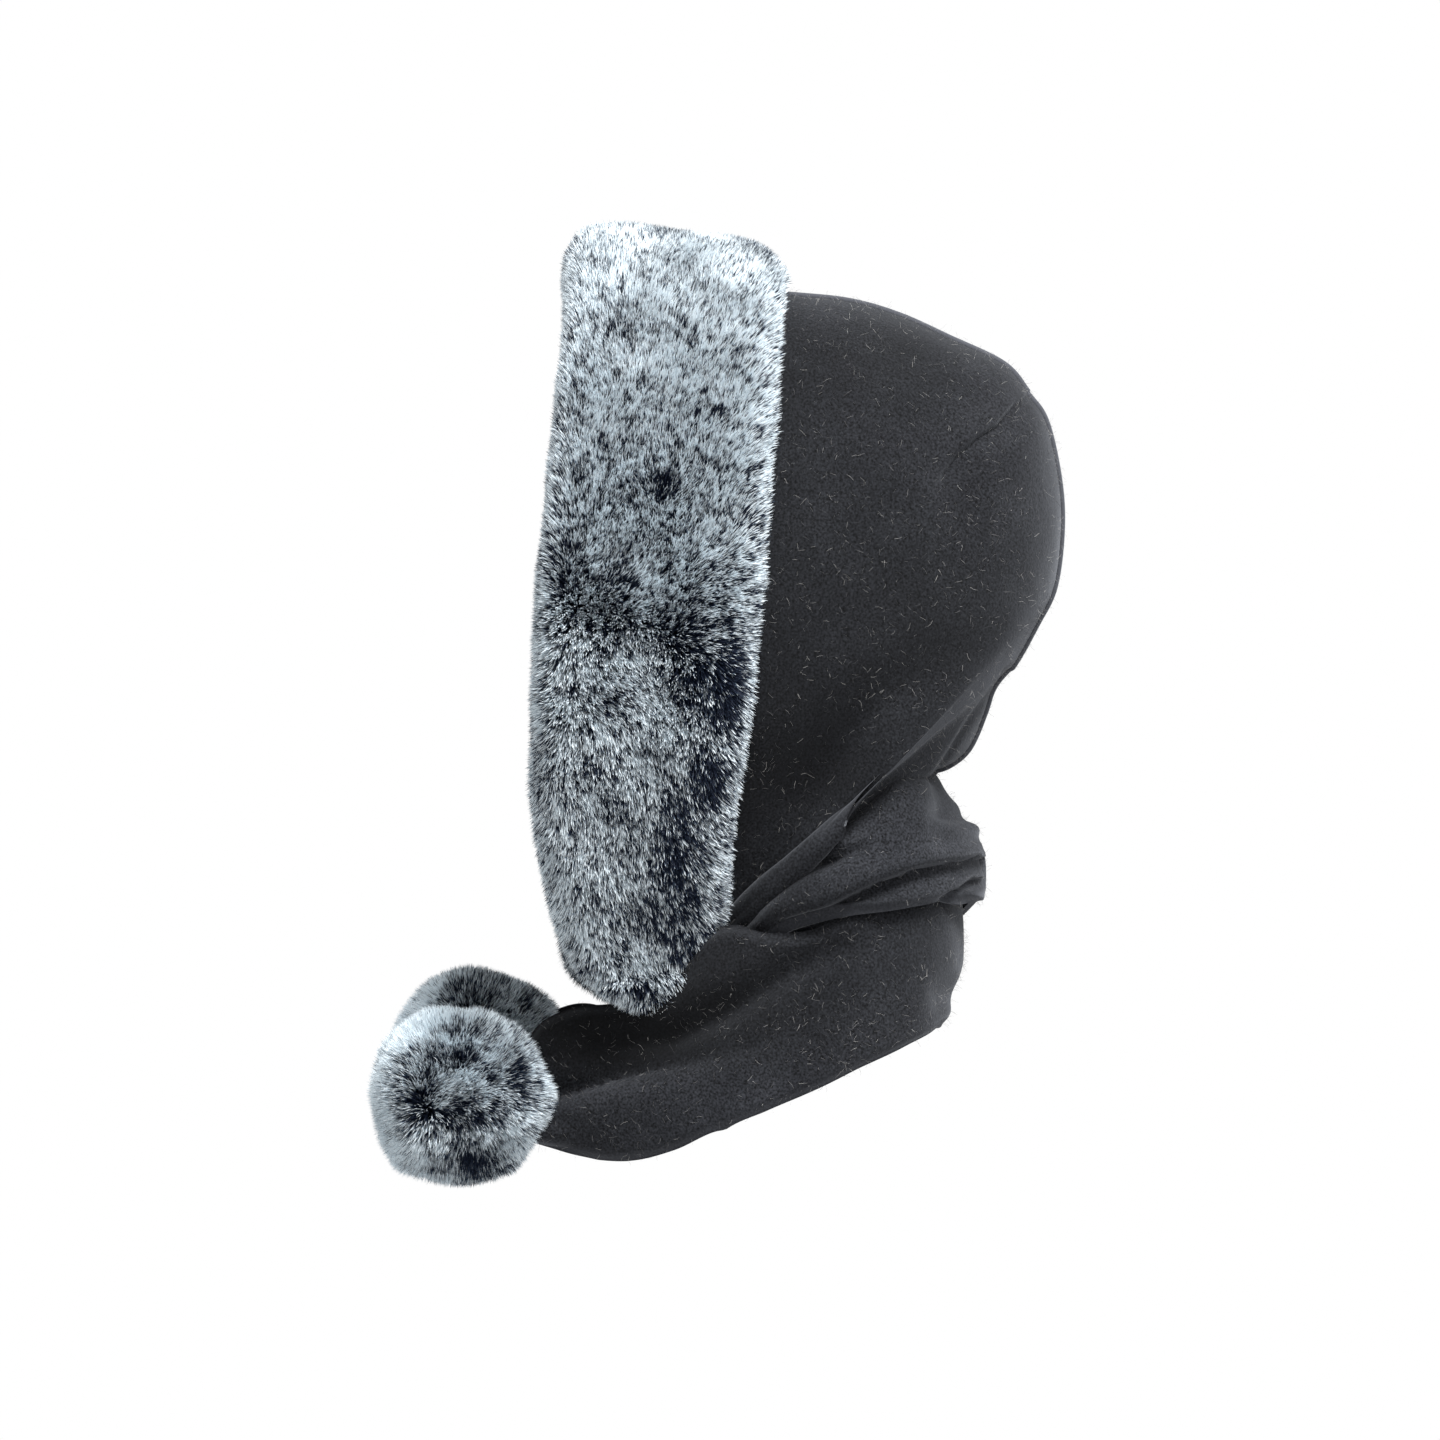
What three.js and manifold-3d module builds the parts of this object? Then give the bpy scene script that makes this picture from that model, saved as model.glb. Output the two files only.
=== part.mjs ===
// Fleece hood with a deep fur trim, two scarf tails and two fur pompoms.
// Millimetres, Z up, face opening towards -Y, left side towards +X.
// The origin is the inner top of the crown, the seat that carries the hood.
import * as THREE from 'three';
import { mergeVertices } from 'three/addons/utils/BufferGeometryUtils.js';
import Module from 'manifold-3d';

const wasm = await Module();
wasm.setup();

// Hood sizes
const hoodDepth = 235.5; // front edge to the back of the crown
const frontReach = 128; // front edge ahead of the seat
const hoodHeight = 340; // crown line down to the chin edge
const crownRise = 12; // crown line above the seat, at the front edge
const hoodHalfWidth = 100; // centre seam plane to the widest place of a panel
const chinHalfWidth = 46; // centre plane to the chin edge of a panel
const chinLength = 64; // chin edge from its front corner to its rear corner
const chinLift = 8; // rear corner of the chin edge above its front corner
const rightChinForward = 6; // the right chin corner lies this much further forward
const chinFade = 6; // how fast that fades up the rib
const panelCloth = 2.4;
const seamGap = 0.3; // between the two panels at the centre seam
const seamRidgeWidth = 5.2; // both turned edges together
const seamRidgeHeight = 2.2;
const seamGroove = 1.4; // groove beside the ridge
const dartDepth = 2.2;
const dartWidth = 7;
const dimpleDepth = 3;
const dimpleWidth = 15;

// Fur trim sizes
const trimWidth = 100; // on the crown, front edge of the panels to the trim's rear edge
const trimOverhang = 14; // fur ahead of the front edge
const trimPile = 30; // fur above the panels at its deepest
const trimLip = 10; // fur rolled inside the front edge
const trimTip = 22; // fur below the chin edge
const tipSpread = 0.35; // the hanging tip leans out this much as it falls
const trimLock = 9; // locks above the solid pile
const lockSpacing = 28;
const lockSink = 5; // foot of a lock inside the pile
const locksAcross = 4;
const lockSides = 4;
const lockLean = 0.35; // locks lean to the nearer edge and down
const lockStagger = [0.3, 0.7]; // place of a lock in its share of an odd and an even row
const furGap = 0.4; // fur backing to the cloth that it is sewn on
const cutSlack = 0.15; // the cut for the panels stops this far short of the backing

// Scarf sizes
const scarfCloth = 3;
const scarfWidth = 110; // tail laid flat
const wrapStandOff = 21; // outer wrap outside the tucked neck edge of the panels
const wrapFrontReach = 43; // crossing under the chin ahead of the rear chin corner
const wrapBackReach = 18; // outer wrap behind the nape
const scarfGap = 0.4; // tail to the chin edge and to its pompom

// Pompom sizes
const pompomDiameter = 92; // over the tips of its locks
const pompomCore = 68; // solid heart, the rest is locks
const pompomLocks = 44;
const pompomDroop = 4; // degrees that a pompom hangs below the end of its tail
const seatCone = 50; // degrees round the seat of the tail that hold no locks

// Ribs of a hood panel, from the face opening over the crown to the neck edge.
// along: crown end behind the front edge, share of hoodDepth
// drop: crown end below the crown line, share of hoodHeight
// foot: lower end behind the front chin corner, share of chinLength
// inset: lower end, share of chinHalfWidth
// width: widest place, share of hoodHalfWidth
// rise: height of the widest place, share of the rib
// bow: forward bow, share of hoodDepth
const ribs = [
  { along: 0, drop: 0, foot: 0, inset: 1, width: 0.94, rise: 0.53, bow: 0.072 },
  { along: 0.14, drop: 0.002, foot: 0.27, inset: 1, width: 0.97, rise: 0.54, bow: 0.035 },
  { along: 0.289, drop: 0.009, foot: 0.53, inset: 1, width: 0.99, rise: 0.55, bow: -0.005 },
  { along: 0.422, drop: 0.016, foot: 0.77, inset: 1, width: 1, rise: 0.55, bow: -0.045 },
  { along: 0.544, drop: 0.025, foot: 0.8, inset: 1, width: 1, rise: 0.55, bow: -0.042 },
  { along: 0.65, drop: 0.046, foot: 0.82, inset: 1, width: 0.99, rise: 0.55, bow: -0.038 },
  { along: 0.756, drop: 0.079, foot: 0.84, inset: 1, width: 0.975, rise: 0.55, bow: -0.034 },
  { along: 0.873, drop: 0.118, foot: 0.86, inset: 1, width: 0.955, rise: 0.55, bow: -0.03 },
  { along: 0.926, drop: 0.16, foot: 0.88, inset: 1, width: 0.935, rise: 0.54, bow: -0.027 },
  { along: 0.966, drop: 0.204, foot: 0.9, inset: 1, width: 0.92, rise: 0.53, bow: -0.025 },
  { along: 0.994, drop: 0.29, foot: 0.92, inset: 1, width: 0.9, rise: 0.51, bow: -0.022 },
  { along: 1, drop: 0.366, foot: 0.94, inset: 1, width: 0.88, rise: 0.49, bow: -0.02 },
  { along: 0.985, drop: 0.45, foot: 0.96, inset: 1, width: 0.85, rise: 0.47, bow: -0.019 },
  { along: 0.949, drop: 0.505, foot: 0.98, inset: 1, width: 0.82, rise: 0.45, bow: -0.018 },
  { along: 0.9, drop: 0.565, foot: 1, inset: 1, width: 0.78, rise: 0.43, bow: -0.017 },
  { along: 0.841, drop: 0.621, foot: 0.99, inset: 0.92, width: 0.66, rise: 0.43, bow: -0.015 },
  { along: 0.809, drop: 0.671, foot: 0.97, inset: 0.88, width: 0.61, rise: 0.43, bow: -0.013 },
  { along: 0.756, drop: 0.712, foot: 0.95, inset: 0.86, width: 0.58, rise: 0.43, bow: -0.012 },
];
const trimRearRib = 3;
const neckRib = ribs.length - 1;
const fineFromRib = 6;
const fineToRib = 10;
const climbAtWidest = 0.4;
const lowerColumns = 5;
const upperColumns = 8;
const crownFullness = 0.95; // below 1 the upper rib stays steep for longer
const crownRoundness = 0.85; // below 1 the crown is broader
const bowCentre = 0.7; // below 1 the bow sits lower on the rib

// Crown dart, from the centre seam down to the dimple where it ends
const dartTop = { along: 0.921, drop: 0.179 };
const dartEnd = { along: 0.745, drop: 0.278 };

// Section of the fur trim, from its rear edge over the top of the pile to the rolled lip.
// back: behind the front edge, share of trimWidth, or ahead of it as a share of trimOverhang
// high: above the panel, share of trimPile, or inside it as a share of trimLip
const trimSection = [
  { back: 1.02, high: 0.2 },
  { back: 0.96, high: 0.52 },
  { back: 0.88, high: 0.72 },
  { back: 0.7, high: 0.83 },
  { back: 0.44, high: 0.88 },
  { back: 0.18, high: 0.97 },
  { back: 0.02, high: 1 },
  { back: -0.55, high: 0.8 },
  { back: -0.95, high: 0.4 },
  { back: -1, high: -0.1 },
  { back: -0.7, high: -0.9 },
  { back: -0.06, high: -0.8 },
];
// Fur trim from its hanging tip up to the crown.
// hang: below the chin edge, share of trimTip
// climb: place on the ribs
// full: width, share of the crown's
// pile: pile height, share of trimPile
const trimRows = [
  { hang: 0.5, climb: 0, full: 0.5, pile: 0.45 },
  { hang: 0.25, climb: 0, full: 0.8, pile: 0.75 },
  { hang: 0, climb: 0, full: 1, pile: 0.85 },
  { hang: 0, climb: 0.2, full: 1, pile: 0.88 },
  { hang: 0, climb: 0.4, full: 1, pile: 0.88 },
  { hang: 0, climb: 0.6, full: 1, pile: 0.92 },
  { hang: 0, climb: 0.8, full: 1, pile: 0.98 },
  { hang: 0, climb: 1, full: 1, pile: 1 },
];
const hangingRows = 2;
const frontStep = 0.2; // ribs behind the front edge that give its forward direction
const lipBack = 0.8; // rear end of the rolled lip, share of trimLip

// Scarf tails, from the chin edge once round the neck to the pompom.
// across: outermost line of the tail, share of the wrap's half width
// along: the same line, share of the wrap's depth from its front
// top, bottom: edges below the neck line, share of scarfWidth
// tuck, flare: top and bottom edge drawn in, share of wrapStandOff
const rightTailRows = [
  { across: -0.559, along: 0.131, top: 0.008, bottom: 0.337, tuck: 0.05, flare: 0.05 },
  { across: -0.319, along: 0.063, top: 0.142, bottom: 0.442, tuck: 0.1, flare: 0.05 },
  { across: 0, along: 0.04, top: 0.219, bottom: 0.537, tuck: 0.14, flare: 0.05 },
  { across: 0.307, along: 0.069, top: 0.198, bottom: 0.507, tuck: 0.14, flare: 0.05 },
  { across: 0.528, along: 0.16, top: 0.134, bottom: 0.388, tuck: 0.14, flare: 0.05 },
  { across: 0.713, along: 0.269, top: 0.002, bottom: 0.207, tuck: 0.14, flare: 0 },
  { across: 0.897, along: 0.383, top: -0.009, bottom: 0.137, tuck: 0.24, flare: 0 },
  { across: 0.983, along: 0.486, top: -0.03, bottom: 0.197, tuck: 0.33, flare: 0 },
  { across: 1.02, along: 0.611, top: -0.049, bottom: 0.314, tuck: 0.43, flare: 0 },
  { across: 0.934, along: 0.771, top: 0.001, bottom: 0.483, tuck: 0.52, flare: 0 },
  { across: 0.627, along: 0.92, top: 0.096, bottom: 0.618, tuck: 0.71, flare: 0 },
  { across: 0.221, along: 0.994, top: 0.059, bottom: 0.609, tuck: 1.05, flare: 0 },
  { across: -0.221, along: 0.994, top: 0.068, bottom: 0.632, tuck: 1.05, flare: 0.05 },
  { across: -0.676, along: 0.931, top: 0.159, bottom: 0.741, tuck: 0.71, flare: 0.1 },
  { across: -0.995, along: 0.8, top: 0.201, bottom: 0.874, tuck: 0.48, flare: 0.14 },
  { across: -1.118, along: 0.623, top: 0.179, bottom: 0.906, tuck: 0.24, flare: 0.19 },
  { across: -1.106, along: 0.44, top: 0.113, bottom: 0.895, tuck: 0.19, flare: 0.24 },
  { across: -1.02, along: 0.257, top: 0.056, bottom: 0.811, tuck: 0.29, flare: 0.33 },
  { across: -0.897, along: 0.08, top: 0.3, bottom: 0.827, tuck: 0.33, flare: 0.33 },
  { across: -0.737, along: -0.051, top: 0.255, bottom: 0.815, tuck: 0.24, flare: 0.29 },
  { across: -0.627, along: -0.154, top: 0.196, bottom: 0.733, tuck: 0.1, flare: 0.14 },
  { across: -0.608, along: -0.237, top: 0.224, bottom: 0.587, tuck: 0, flare: 0 },
];
const leftTailRows = [
  { across: 0.559, along: 0.08, top: 0, bottom: 0.327, tuck: 0.05, flare: 0.05 },
  { across: 0.332, along: 0.017, top: 0.133, bottom: 0.442, tuck: 0.1, flare: 0.05 },
  { across: 0, along: -0.006, top: 0.21, bottom: 0.546, tuck: 0.14, flare: 0.05 },
  { across: -0.344, along: 0, top: 0.193, bottom: 0.511, tuck: 0.14, flare: 0.05 },
  { across: -0.639, along: 0.089, top: 0.238, bottom: 0.456, tuck: 0.14, flare: 0.05 },
  { across: -0.823, along: 0.257, top: 0.074, bottom: 0.283, tuck: 0.19, flare: 0 },
  { across: -0.971, along: 0.394, top: 0.037, bottom: 0.237, tuck: 0.29, flare: 0 },
  { across: -1.007, along: 0.508, top: -0.01, bottom: 0.308, tuck: 0.38, flare: 0 },
  { across: -0.989, along: 0.634, top: -0.007, bottom: 0.529, tuck: 0.43, flare: 0 },
  { across: -0.86, along: 0.783, top: 0.107, bottom: 0.834, tuck: 0.38, flare: 0.14 },
  { across: -0.516, along: 0.886, top: 0.345, bottom: 1.072, tuck: 0.29, flare: 0.33 },
  { across: 0, along: 0.937, top: 0.514, bottom: 1.141, tuck: 0.1, flare: 0.43 },
  { across: 0.455, along: 0.903, top: 0.55, bottom: 1.187, tuck: 0.1, flare: 0.43 },
  { across: 0.774, along: 0.794, top: 0.457, bottom: 1.13, tuck: 0.1, flare: 0.43 },
  { across: 0.934, along: 0.646, top: 0.312, bottom: 1.044, tuck: 0.1, flare: 0.38 },
  { across: 0.983, along: 0.508, top: 0.244, bottom: 0.972, tuck: 0.1, flare: 0.33 },
  { across: 0.98, along: 0.371, top: 0.11, bottom: 0.89, tuck: 0.08, flare: 0.33 },
  { across: 0.934, along: 0.234, top: -0.035, bottom: 0.821, tuck: 0.33, flare: 0.38 },
  { across: 0.835, along: 0.097, top: 0.28, bottom: 0.885, tuck: 0.38, flare: 0.33 },
  { across: 0.737, along: -0.029, top: 0.26, bottom: 0.91, tuck: 0.29, flare: 0.29 },
  { across: 0.651, along: -0.16, top: 0.192, bottom: 0.874, tuck: 0.14, flare: 0.24 },
  { across: 0.614, along: -0.269, top: 0.265, bottom: 0.824, tuck: 0.05, flare: 0.1 },
  { across: 0.608, along: -0.317, top: 0.387, bottom: 0.787, tuck: 0, flare: 0 },
];
const bulgeHeight = 0.55; // outermost line of a tail, share of its width from the top
const tailStepsPerRow = 1.5;
const tailColumns = 6;
const runStep = 0.05; // rows before and after a place that give the tail's direction there

// Colours
const fleece = { color: 0x2b2d35, roughness: 0.95, metalness: 0 };
const frostedFur = { color: 0x8d98a6, roughness: 0.9, metalness: 0 };

// Sizes that follow from the ones above
const chinFrontY = -frontReach;
const chinFrontZ = crownRise - hoodHeight;
const chinRearY = chinFrontY + chinLength;
const chinRearZ = chinFrontZ + chinLift;
const napeY = ribs[neckRib].along * hoodDepth - frontReach;
const napeZ = crownRise - ribs[neckRib].drop * hoodHeight;
const wrapHalfWidth = hoodHalfWidth * ribs[neckRib].width + wrapStandOff + panelCloth;
const wrapFrontY = chinRearY - wrapFrontReach;
const wrapDepth = napeY + wrapBackReach - wrapFrontY;

// Smooth blend of a table's rows at a place counted in rows
function rowAt(rows, place) {
  const last = rows.length - 1;
  const at = Math.min(Math.max(place, 0), last);
  const i = Math.min(Math.floor(at), last - 1);
  const t = at - i;
  const row = {};
  for (const key of Object.keys(rows[0])) {
    const p1 = rows[i][key];
    const p2 = rows[i + 1][key];
    const p0 = i > 0 ? rows[i - 1][key] : 2 * p1 - p2;
    const p3 = i + 2 <= last ? rows[i + 2][key] : 2 * p2 - p1;
    const slope = (p2 - p0) / 2;
    const nextSlope = (p3 - p1) / 2;
    const t2 = t * t;
    const t3 = t2 * t;
    row[key] = p1 * (2 * t3 - 3 * t2 + 1) + slope * (t3 - 2 * t2 + t)
      + p2 * (3 * t2 - 2 * t3) + nextSlope * (t3 - t2);
  }
  return row;
}

// Point of a panel's base surface. place counts ribs, climb runs from the chin edge to the centre seam.
function panelPoint(place, climb, side) {
  const rib = rowAt(ribs, place);
  const footY = chinFrontY + rib.foot * chinLength;
  const footZ = chinFrontZ + rib.foot * chinLift;
  const topY = rib.along * hoodDepth - frontReach;
  const topZ = crownRise - rib.drop * hoodHeight;
  const foot = rib.inset * chinHalfWidth;
  const widest = rib.width * hoodHalfWidth;
  let share;
  let x;
  if (climb < climbAtWidest) {
    const t = climb / climbAtWidest;
    share = rib.rise * t;
    x = foot + (widest - foot) * Math.sin(t * Math.PI / 2);
  } else {
    const angle = (climb - climbAtWidest) / (1 - climbAtWidest) * Math.PI / 2;
    share = rib.rise + (1 - rib.rise) * Math.sin(angle) ** crownFullness;
    const round = Math.max(Math.cos(angle), 0) ** crownRoundness;
    x = seamGap / 2 + (widest - seamGap / 2) * round;
  }
  const chordY = topY - footY;
  const chordZ = topZ - footZ;
  const chord = Math.hypot(chordY, chordZ);
  const bend = Math.max(share, 0) ** bowCentre;
  const bow = rib.bow * hoodDepth * 4 * bend * (1 - bend);
  const shift = rightChinForward * (1 - Math.min(rib.foot, 1)) * (1 - share) ** chinFade;
  const forward = side < 0 ? shift : 0;
  const y = footY + chordY * share - bow * chordZ / chord - forward;
  const z = footZ + chordZ * share + bow * chordY / chord;
  return new THREE.Vector3(side * x, y, z);
}

// Outward normal of a panel's base surface
function panelNormal(place, climb, side) {
  const climbStep = 0.002;
  const placeStep = 0.02;
  const low = Math.max(climb - climbStep, 0);
  const high = Math.min(climb + climbStep, 1);
  const before = Math.max(place - placeStep, 0);
  const after = Math.min(place + placeStep, neckRib);
  const up = panelPoint(place, high, side).sub(panelPoint(place, low, side));
  const back = panelPoint(after, climb, side).sub(panelPoint(before, climb, side));
  const normal = back.cross(up).multiplyScalar(side);
  if (climb > 1 - climbStep) normal.x = 0;
  return normal.normalize();
}

// Climb at which a rib comes within a distance of the centre plane
function climbNearSeam(place, distance) {
  const widest = rowAt(ribs, place).width * hoodHalfWidth;
  const cosine = ((distance - seamGap / 2) / (widest - seamGap / 2)) ** (1 / crownRoundness);
  return climbAtWidest + (1 - climbAtWidest) * Math.acos(cosine) / (Math.PI / 2);
}

// Depth of the crown dart and its dimple at a place in side view
function dartRelief(y, z) {
  const topY = dartTop.along * hoodDepth - frontReach;
  const topZ = crownRise - dartTop.drop * hoodHeight;
  const runY = (dartEnd.along - dartTop.along) * hoodDepth;
  const runZ = -(dartEnd.drop - dartTop.drop) * hoodHeight;
  const length = Math.hypot(runY, runZ);
  const along = ((y - topY) * runY + (z - topZ) * runZ) / length ** 2;
  const nearest = Math.min(Math.max(along, 0), 1);
  const away = Math.hypot(y - topY - nearest * runY, z - topZ - nearest * runZ);
  const dimple = Math.hypot(y - topY - runY, z - topZ - runZ);
  return dartDepth * Math.exp(-((away / dartWidth) ** 2))
    + dimpleDepth * Math.exp(-((dimple / dimpleWidth) ** 2));
}

// Closed sheet between an outer and an inner grid of points
function sheetGeometry(outer, inner) {
  const rows = outer.length;
  const columns = outer[0].length;
  const positions = [];
  for (const grid of [outer, inner]) {
    for (const row of grid) {
      for (const point of row) positions.push(point.x, point.y, point.z);
    }
  }
  const index = [];
  const at = (layer, i, j) => layer * rows * columns + i * columns + j;
  const quad = (a, b, c, d) => index.push(a, b, c, a, c, d);
  for (let i = 0; i < rows - 1; i += 1) {
    for (let j = 0; j < columns - 1; j += 1) {
      quad(at(0, i, j), at(0, i + 1, j), at(0, i + 1, j + 1), at(0, i, j + 1));
      quad(at(1, i, j), at(1, i, j + 1), at(1, i + 1, j + 1), at(1, i + 1, j));
    }
  }
  for (let i = 0; i < rows - 1; i += 1) {
    quad(at(0, i, 0), at(1, i, 0), at(1, i + 1, 0), at(0, i + 1, 0));
    quad(at(0, i, columns - 1), at(0, i + 1, columns - 1), at(1, i + 1, columns - 1), at(1, i, columns - 1));
  }
  for (let j = 0; j < columns - 1; j += 1) {
    quad(at(0, 0, j), at(0, 0, j + 1), at(1, 0, j + 1), at(1, 0, j));
    quad(at(0, rows - 1, j), at(1, rows - 1, j), at(1, rows - 1, j + 1), at(0, rows - 1, j + 1));
  }
  return facingOut(positions, index);
}

// Geometry with its faces turned to point out of the solid
function facingOut(positions, index) {
  let volume = 0;
  const point = (i) => new THREE.Vector3().fromArray(positions, 3 * i);
  for (let i = 0; i < index.length; i += 3) {
    volume += point(index[i]).dot(point(index[i + 1]).cross(point(index[i + 2])));
  }
  const geometry = new THREE.BufferGeometry();
  geometry.setAttribute('position', new THREE.Float32BufferAttribute(positions, 3));
  geometry.setIndex(volume < 0 ? index.reverse() : index);
  return geometry;
}

// One side panel of the hood, grown on both faces where it cuts its own clearance
function hoodPanel(side, grow = 0) {
  const places = [];
  for (let rib = 0; rib <= neckRib; rib += 1) {
    places.push(rib);
    if (rib >= fineFromRib && rib < fineToRib) places.push(rib + 0.5);
  }
  const outer = [];
  const inner = [];
  for (const place of places) {
    const climbs = panelClimbs(place);
    // The ridge starts behind the fur trim
    const ridge = place > trimRearRib ? seamRidgeHeight : 0;
    const outerRow = [];
    const innerRow = [];
    climbs.forEach((climb, column) => {
      const point = panelPoint(place, climb, side);
      const normal = panelNormal(place, climb, side);
      if (column === 0) point.z -= grow;
      if (place === 0) point.y -= grow;
      const lift = column >= climbs.length - 2 ? 0 : -ridge;
      const relief = place > trimRearRib ? dartRelief(point.y, point.z) : 0;
      outerRow.push(point.clone().addScaledVector(normal, lift - relief + grow));
      innerRow.push(point.clone().addScaledVector(normal, -ridge - relief - panelCloth - grow));
    });
    outer.push(outerRow);
    inner.push(innerRow);
  }
  return sheetGeometry(outer, inner);
}

// Climbs of a panel's columns on one rib
function panelClimbs(place) {
  const climbs = [];
  for (let j = 0; j < lowerColumns; j += 1) climbs.push(climbAtWidest * j / lowerColumns);
  const grooveClimb = climbNearSeam(place, seamRidgeWidth / 2 + seamGroove);
  for (let j = 0; j <= upperColumns; j += 1) {
    climbs.push(climbAtWidest + (grooveClimb - climbAtWidest) * j / upperColumns);
  }
  climbs.push(climbNearSeam(place, seamRidgeWidth / 2), 1);
  return climbs;
}

// Row of the trim's table at a climb
function trimRowAt(climb) {
  const rows = trimRows.slice(hangingRows);
  const next = rows.findIndex((row) => row.climb >= climb);
  const i = Math.max(next - 1, 0);
  const t = (climb - rows[i].climb) / (rows[i + 1].climb - rows[i].climb);
  return { ...rowAt(rows, i + t), hang: 0 };
}

// Frames along the trim, from the left chin tip over the crown to the right one.
// Each holds the trim's row and the column of the panel that it lies on.
function trimFrames() {
  const columns = panelClimbs(0).length;
  const frames = [];
  for (const side of [1, -1]) {
    const half = [];
    for (const row of trimRows.slice(0, hangingRows)) half.push({ row, column: 0, side });
    for (let column = 0; column < columns - 2; column += 1) {
      half.push({ row: trimRowAt(panelClimbs(0)[column]), column, side });
    }
    if (side > 0) frames.push(...half, { row: trimRowAt(1), column: columns - 1, side });
    else frames.push(...half.reverse());
  }
  return frames;
}

// Point of the fur trim in a frame. place counts ribs from the front edge, or overhangs it below 0.
function trimPoint(frame, place, ahead, height) {
  const { row, column, side } = frame;
  const climb = panelClimbs(Math.max(place, 0))[column];
  const point = panelPoint(place, climb, side);
  const normal = panelNormal(place, climb, side);
  const forward = panelPoint(0, climb, side).sub(panelPoint(frontStep, climb, side)).normalize();
  point.addScaledVector(forward, ahead);
  point.addScaledVector(normal, height);
  if (column === panelClimbs(0).length - 1) point.x = 0;
  point.z -= row.hang * trimTip;
  point.x += side * row.hang * trimTip * tipSpread;
  return point;
}

// Closed ring of the trim's section in a frame, with its pile cut down to a share
function trimRing(frame, pileShare) {
  const { full, pile } = frame.row;
  const ribPerBack = trimRearRib * trimWidth / (ribs[trimRearRib].along * hoodDepth);
  // A narrower frame keeps to the middle of the trim's width
  const narrow = (back) => 0.5 + (back - 0.5) * full;
  const ring = trimSection.map(({ back, high }) => {
    const ahead = Math.max(-back, 0) * trimOverhang * full * pileShare;
    const height = high > 0 ? high * trimPile * pile * pileShare : high * trimLip * full;
    return trimPoint(frame, ribPerBack * narrow(Math.max(back, 0)), ahead, furGap + height);
  });
  ring[ring.length - 1] = trimPoint(frame, trimRearRib * narrow(0), furGap, -trimLip * full * lipBack);
  ring.push(trimPoint(frame, trimRearRib * narrow(0), furGap, furGap));
  for (let rib = 0; rib <= trimRearRib; rib += 1) {
    ring.push(trimPoint(frame, trimRearRib * narrow(rib / trimRearRib), 0, furGap));
  }
  return ring;
}

// Solid with its vertices shared, ready for joining
function solidOf(geometry) {
  const bare = geometry.clone();
  bare.deleteAttribute('normal');
  bare.deleteAttribute('uv');
  const merged = mergeVertices(bare, 1e-4);
  return new wasm.Manifold(new wasm.Mesh({
    numProp: 3,
    vertProperties: new Float32Array(merged.attributes.position.array),
    triVerts: new Uint32Array(merged.index.array),
  }));
}

function geometryOf(solid) {
  const mesh = solid.getMesh();
  const geometry = new THREE.BufferGeometry();
  geometry.setAttribute('position', new THREE.BufferAttribute(new Float32Array(mesh.vertProperties), 3));
  geometry.setIndex(new THREE.BufferAttribute(new Uint32Array(mesh.triVerts), 1));
  return geometry;
}

// One lock of fur: a four-sided cone whose foot is sunk in the pile
function lockSolid(foot, direction, length, width) {
  const cone = new THREE.ConeGeometry(width / 2, length, lockSides);
  cone.translate(0, length / 2, 0);
  const turn = new THREE.Quaternion().setFromUnitVectors(new THREE.Vector3(0, 1, 0), direction);
  cone.applyQuaternion(turn);
  cone.translate(foot.x, foot.y, foot.z);
  return solidOf(cone);
}

// Locks in staggered rows over the outer side of the trim
function trimLocks(rings) {
  const locks = [];
  const last = trimSection.length - 3;
  const middle = Math.floor(last / 2);
  const line = (at, column) => {
    const i = Math.min(Math.floor(at), rings.length - 2);
    const j = Math.min(Math.floor(column), last - 1);
    const near = rings[i][j].clone().lerp(rings[i][j + 1], column - j);
    return near.lerp(rings[i + 1][j].clone().lerp(rings[i + 1][j + 1], column - j), at - i);
  };
  const lineStep = 0.2;
  const spans = [];
  for (let i = 0; i < rings.length - 1; i += 1) {
    spans.push(rings[i][middle].distanceTo(rings[i + 1][middle]));
  }
  const length = spans.reduce((sum, span) => sum + span, 0);
  const rows = Math.round(length / lockSpacing);
  for (let r = 0; r < rows; r += 1) {
    let travel = (r + 0.5) / rows * length;
    let i = 0;
    while (travel > spans[i]) {
      travel -= spans[i];
      i += 1;
    }
    const at = i + travel / spans[i];
    const upward = Math.sign((rings.length - 1) / 2 - at);
    for (let k = 0; k < locksAcross; k += 1) {
      const column = 1 + (last - 1) * (k + lockStagger[r % 2]) / locksAcross;
      const point = line(at, column);
      const along = line(at + lineStep, column).sub(line(at - lineStep, column)).normalize();
      const across = line(at, column + lineStep).sub(line(at, column - lineStep)).normalize();
      const normal = along.clone().cross(across).normalize();
      const direction = normal.addScaledVector(across, lockLean * (2 * column / last - 1));
      direction.addScaledVector(along, -upward * lockLean).normalize();
      const foot = point.addScaledVector(direction, -lockSink);
      locks.push(lockSolid(foot, direction, trimLock + lockSink, lockSpacing));
    }
  }
  return locks;
}

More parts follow.
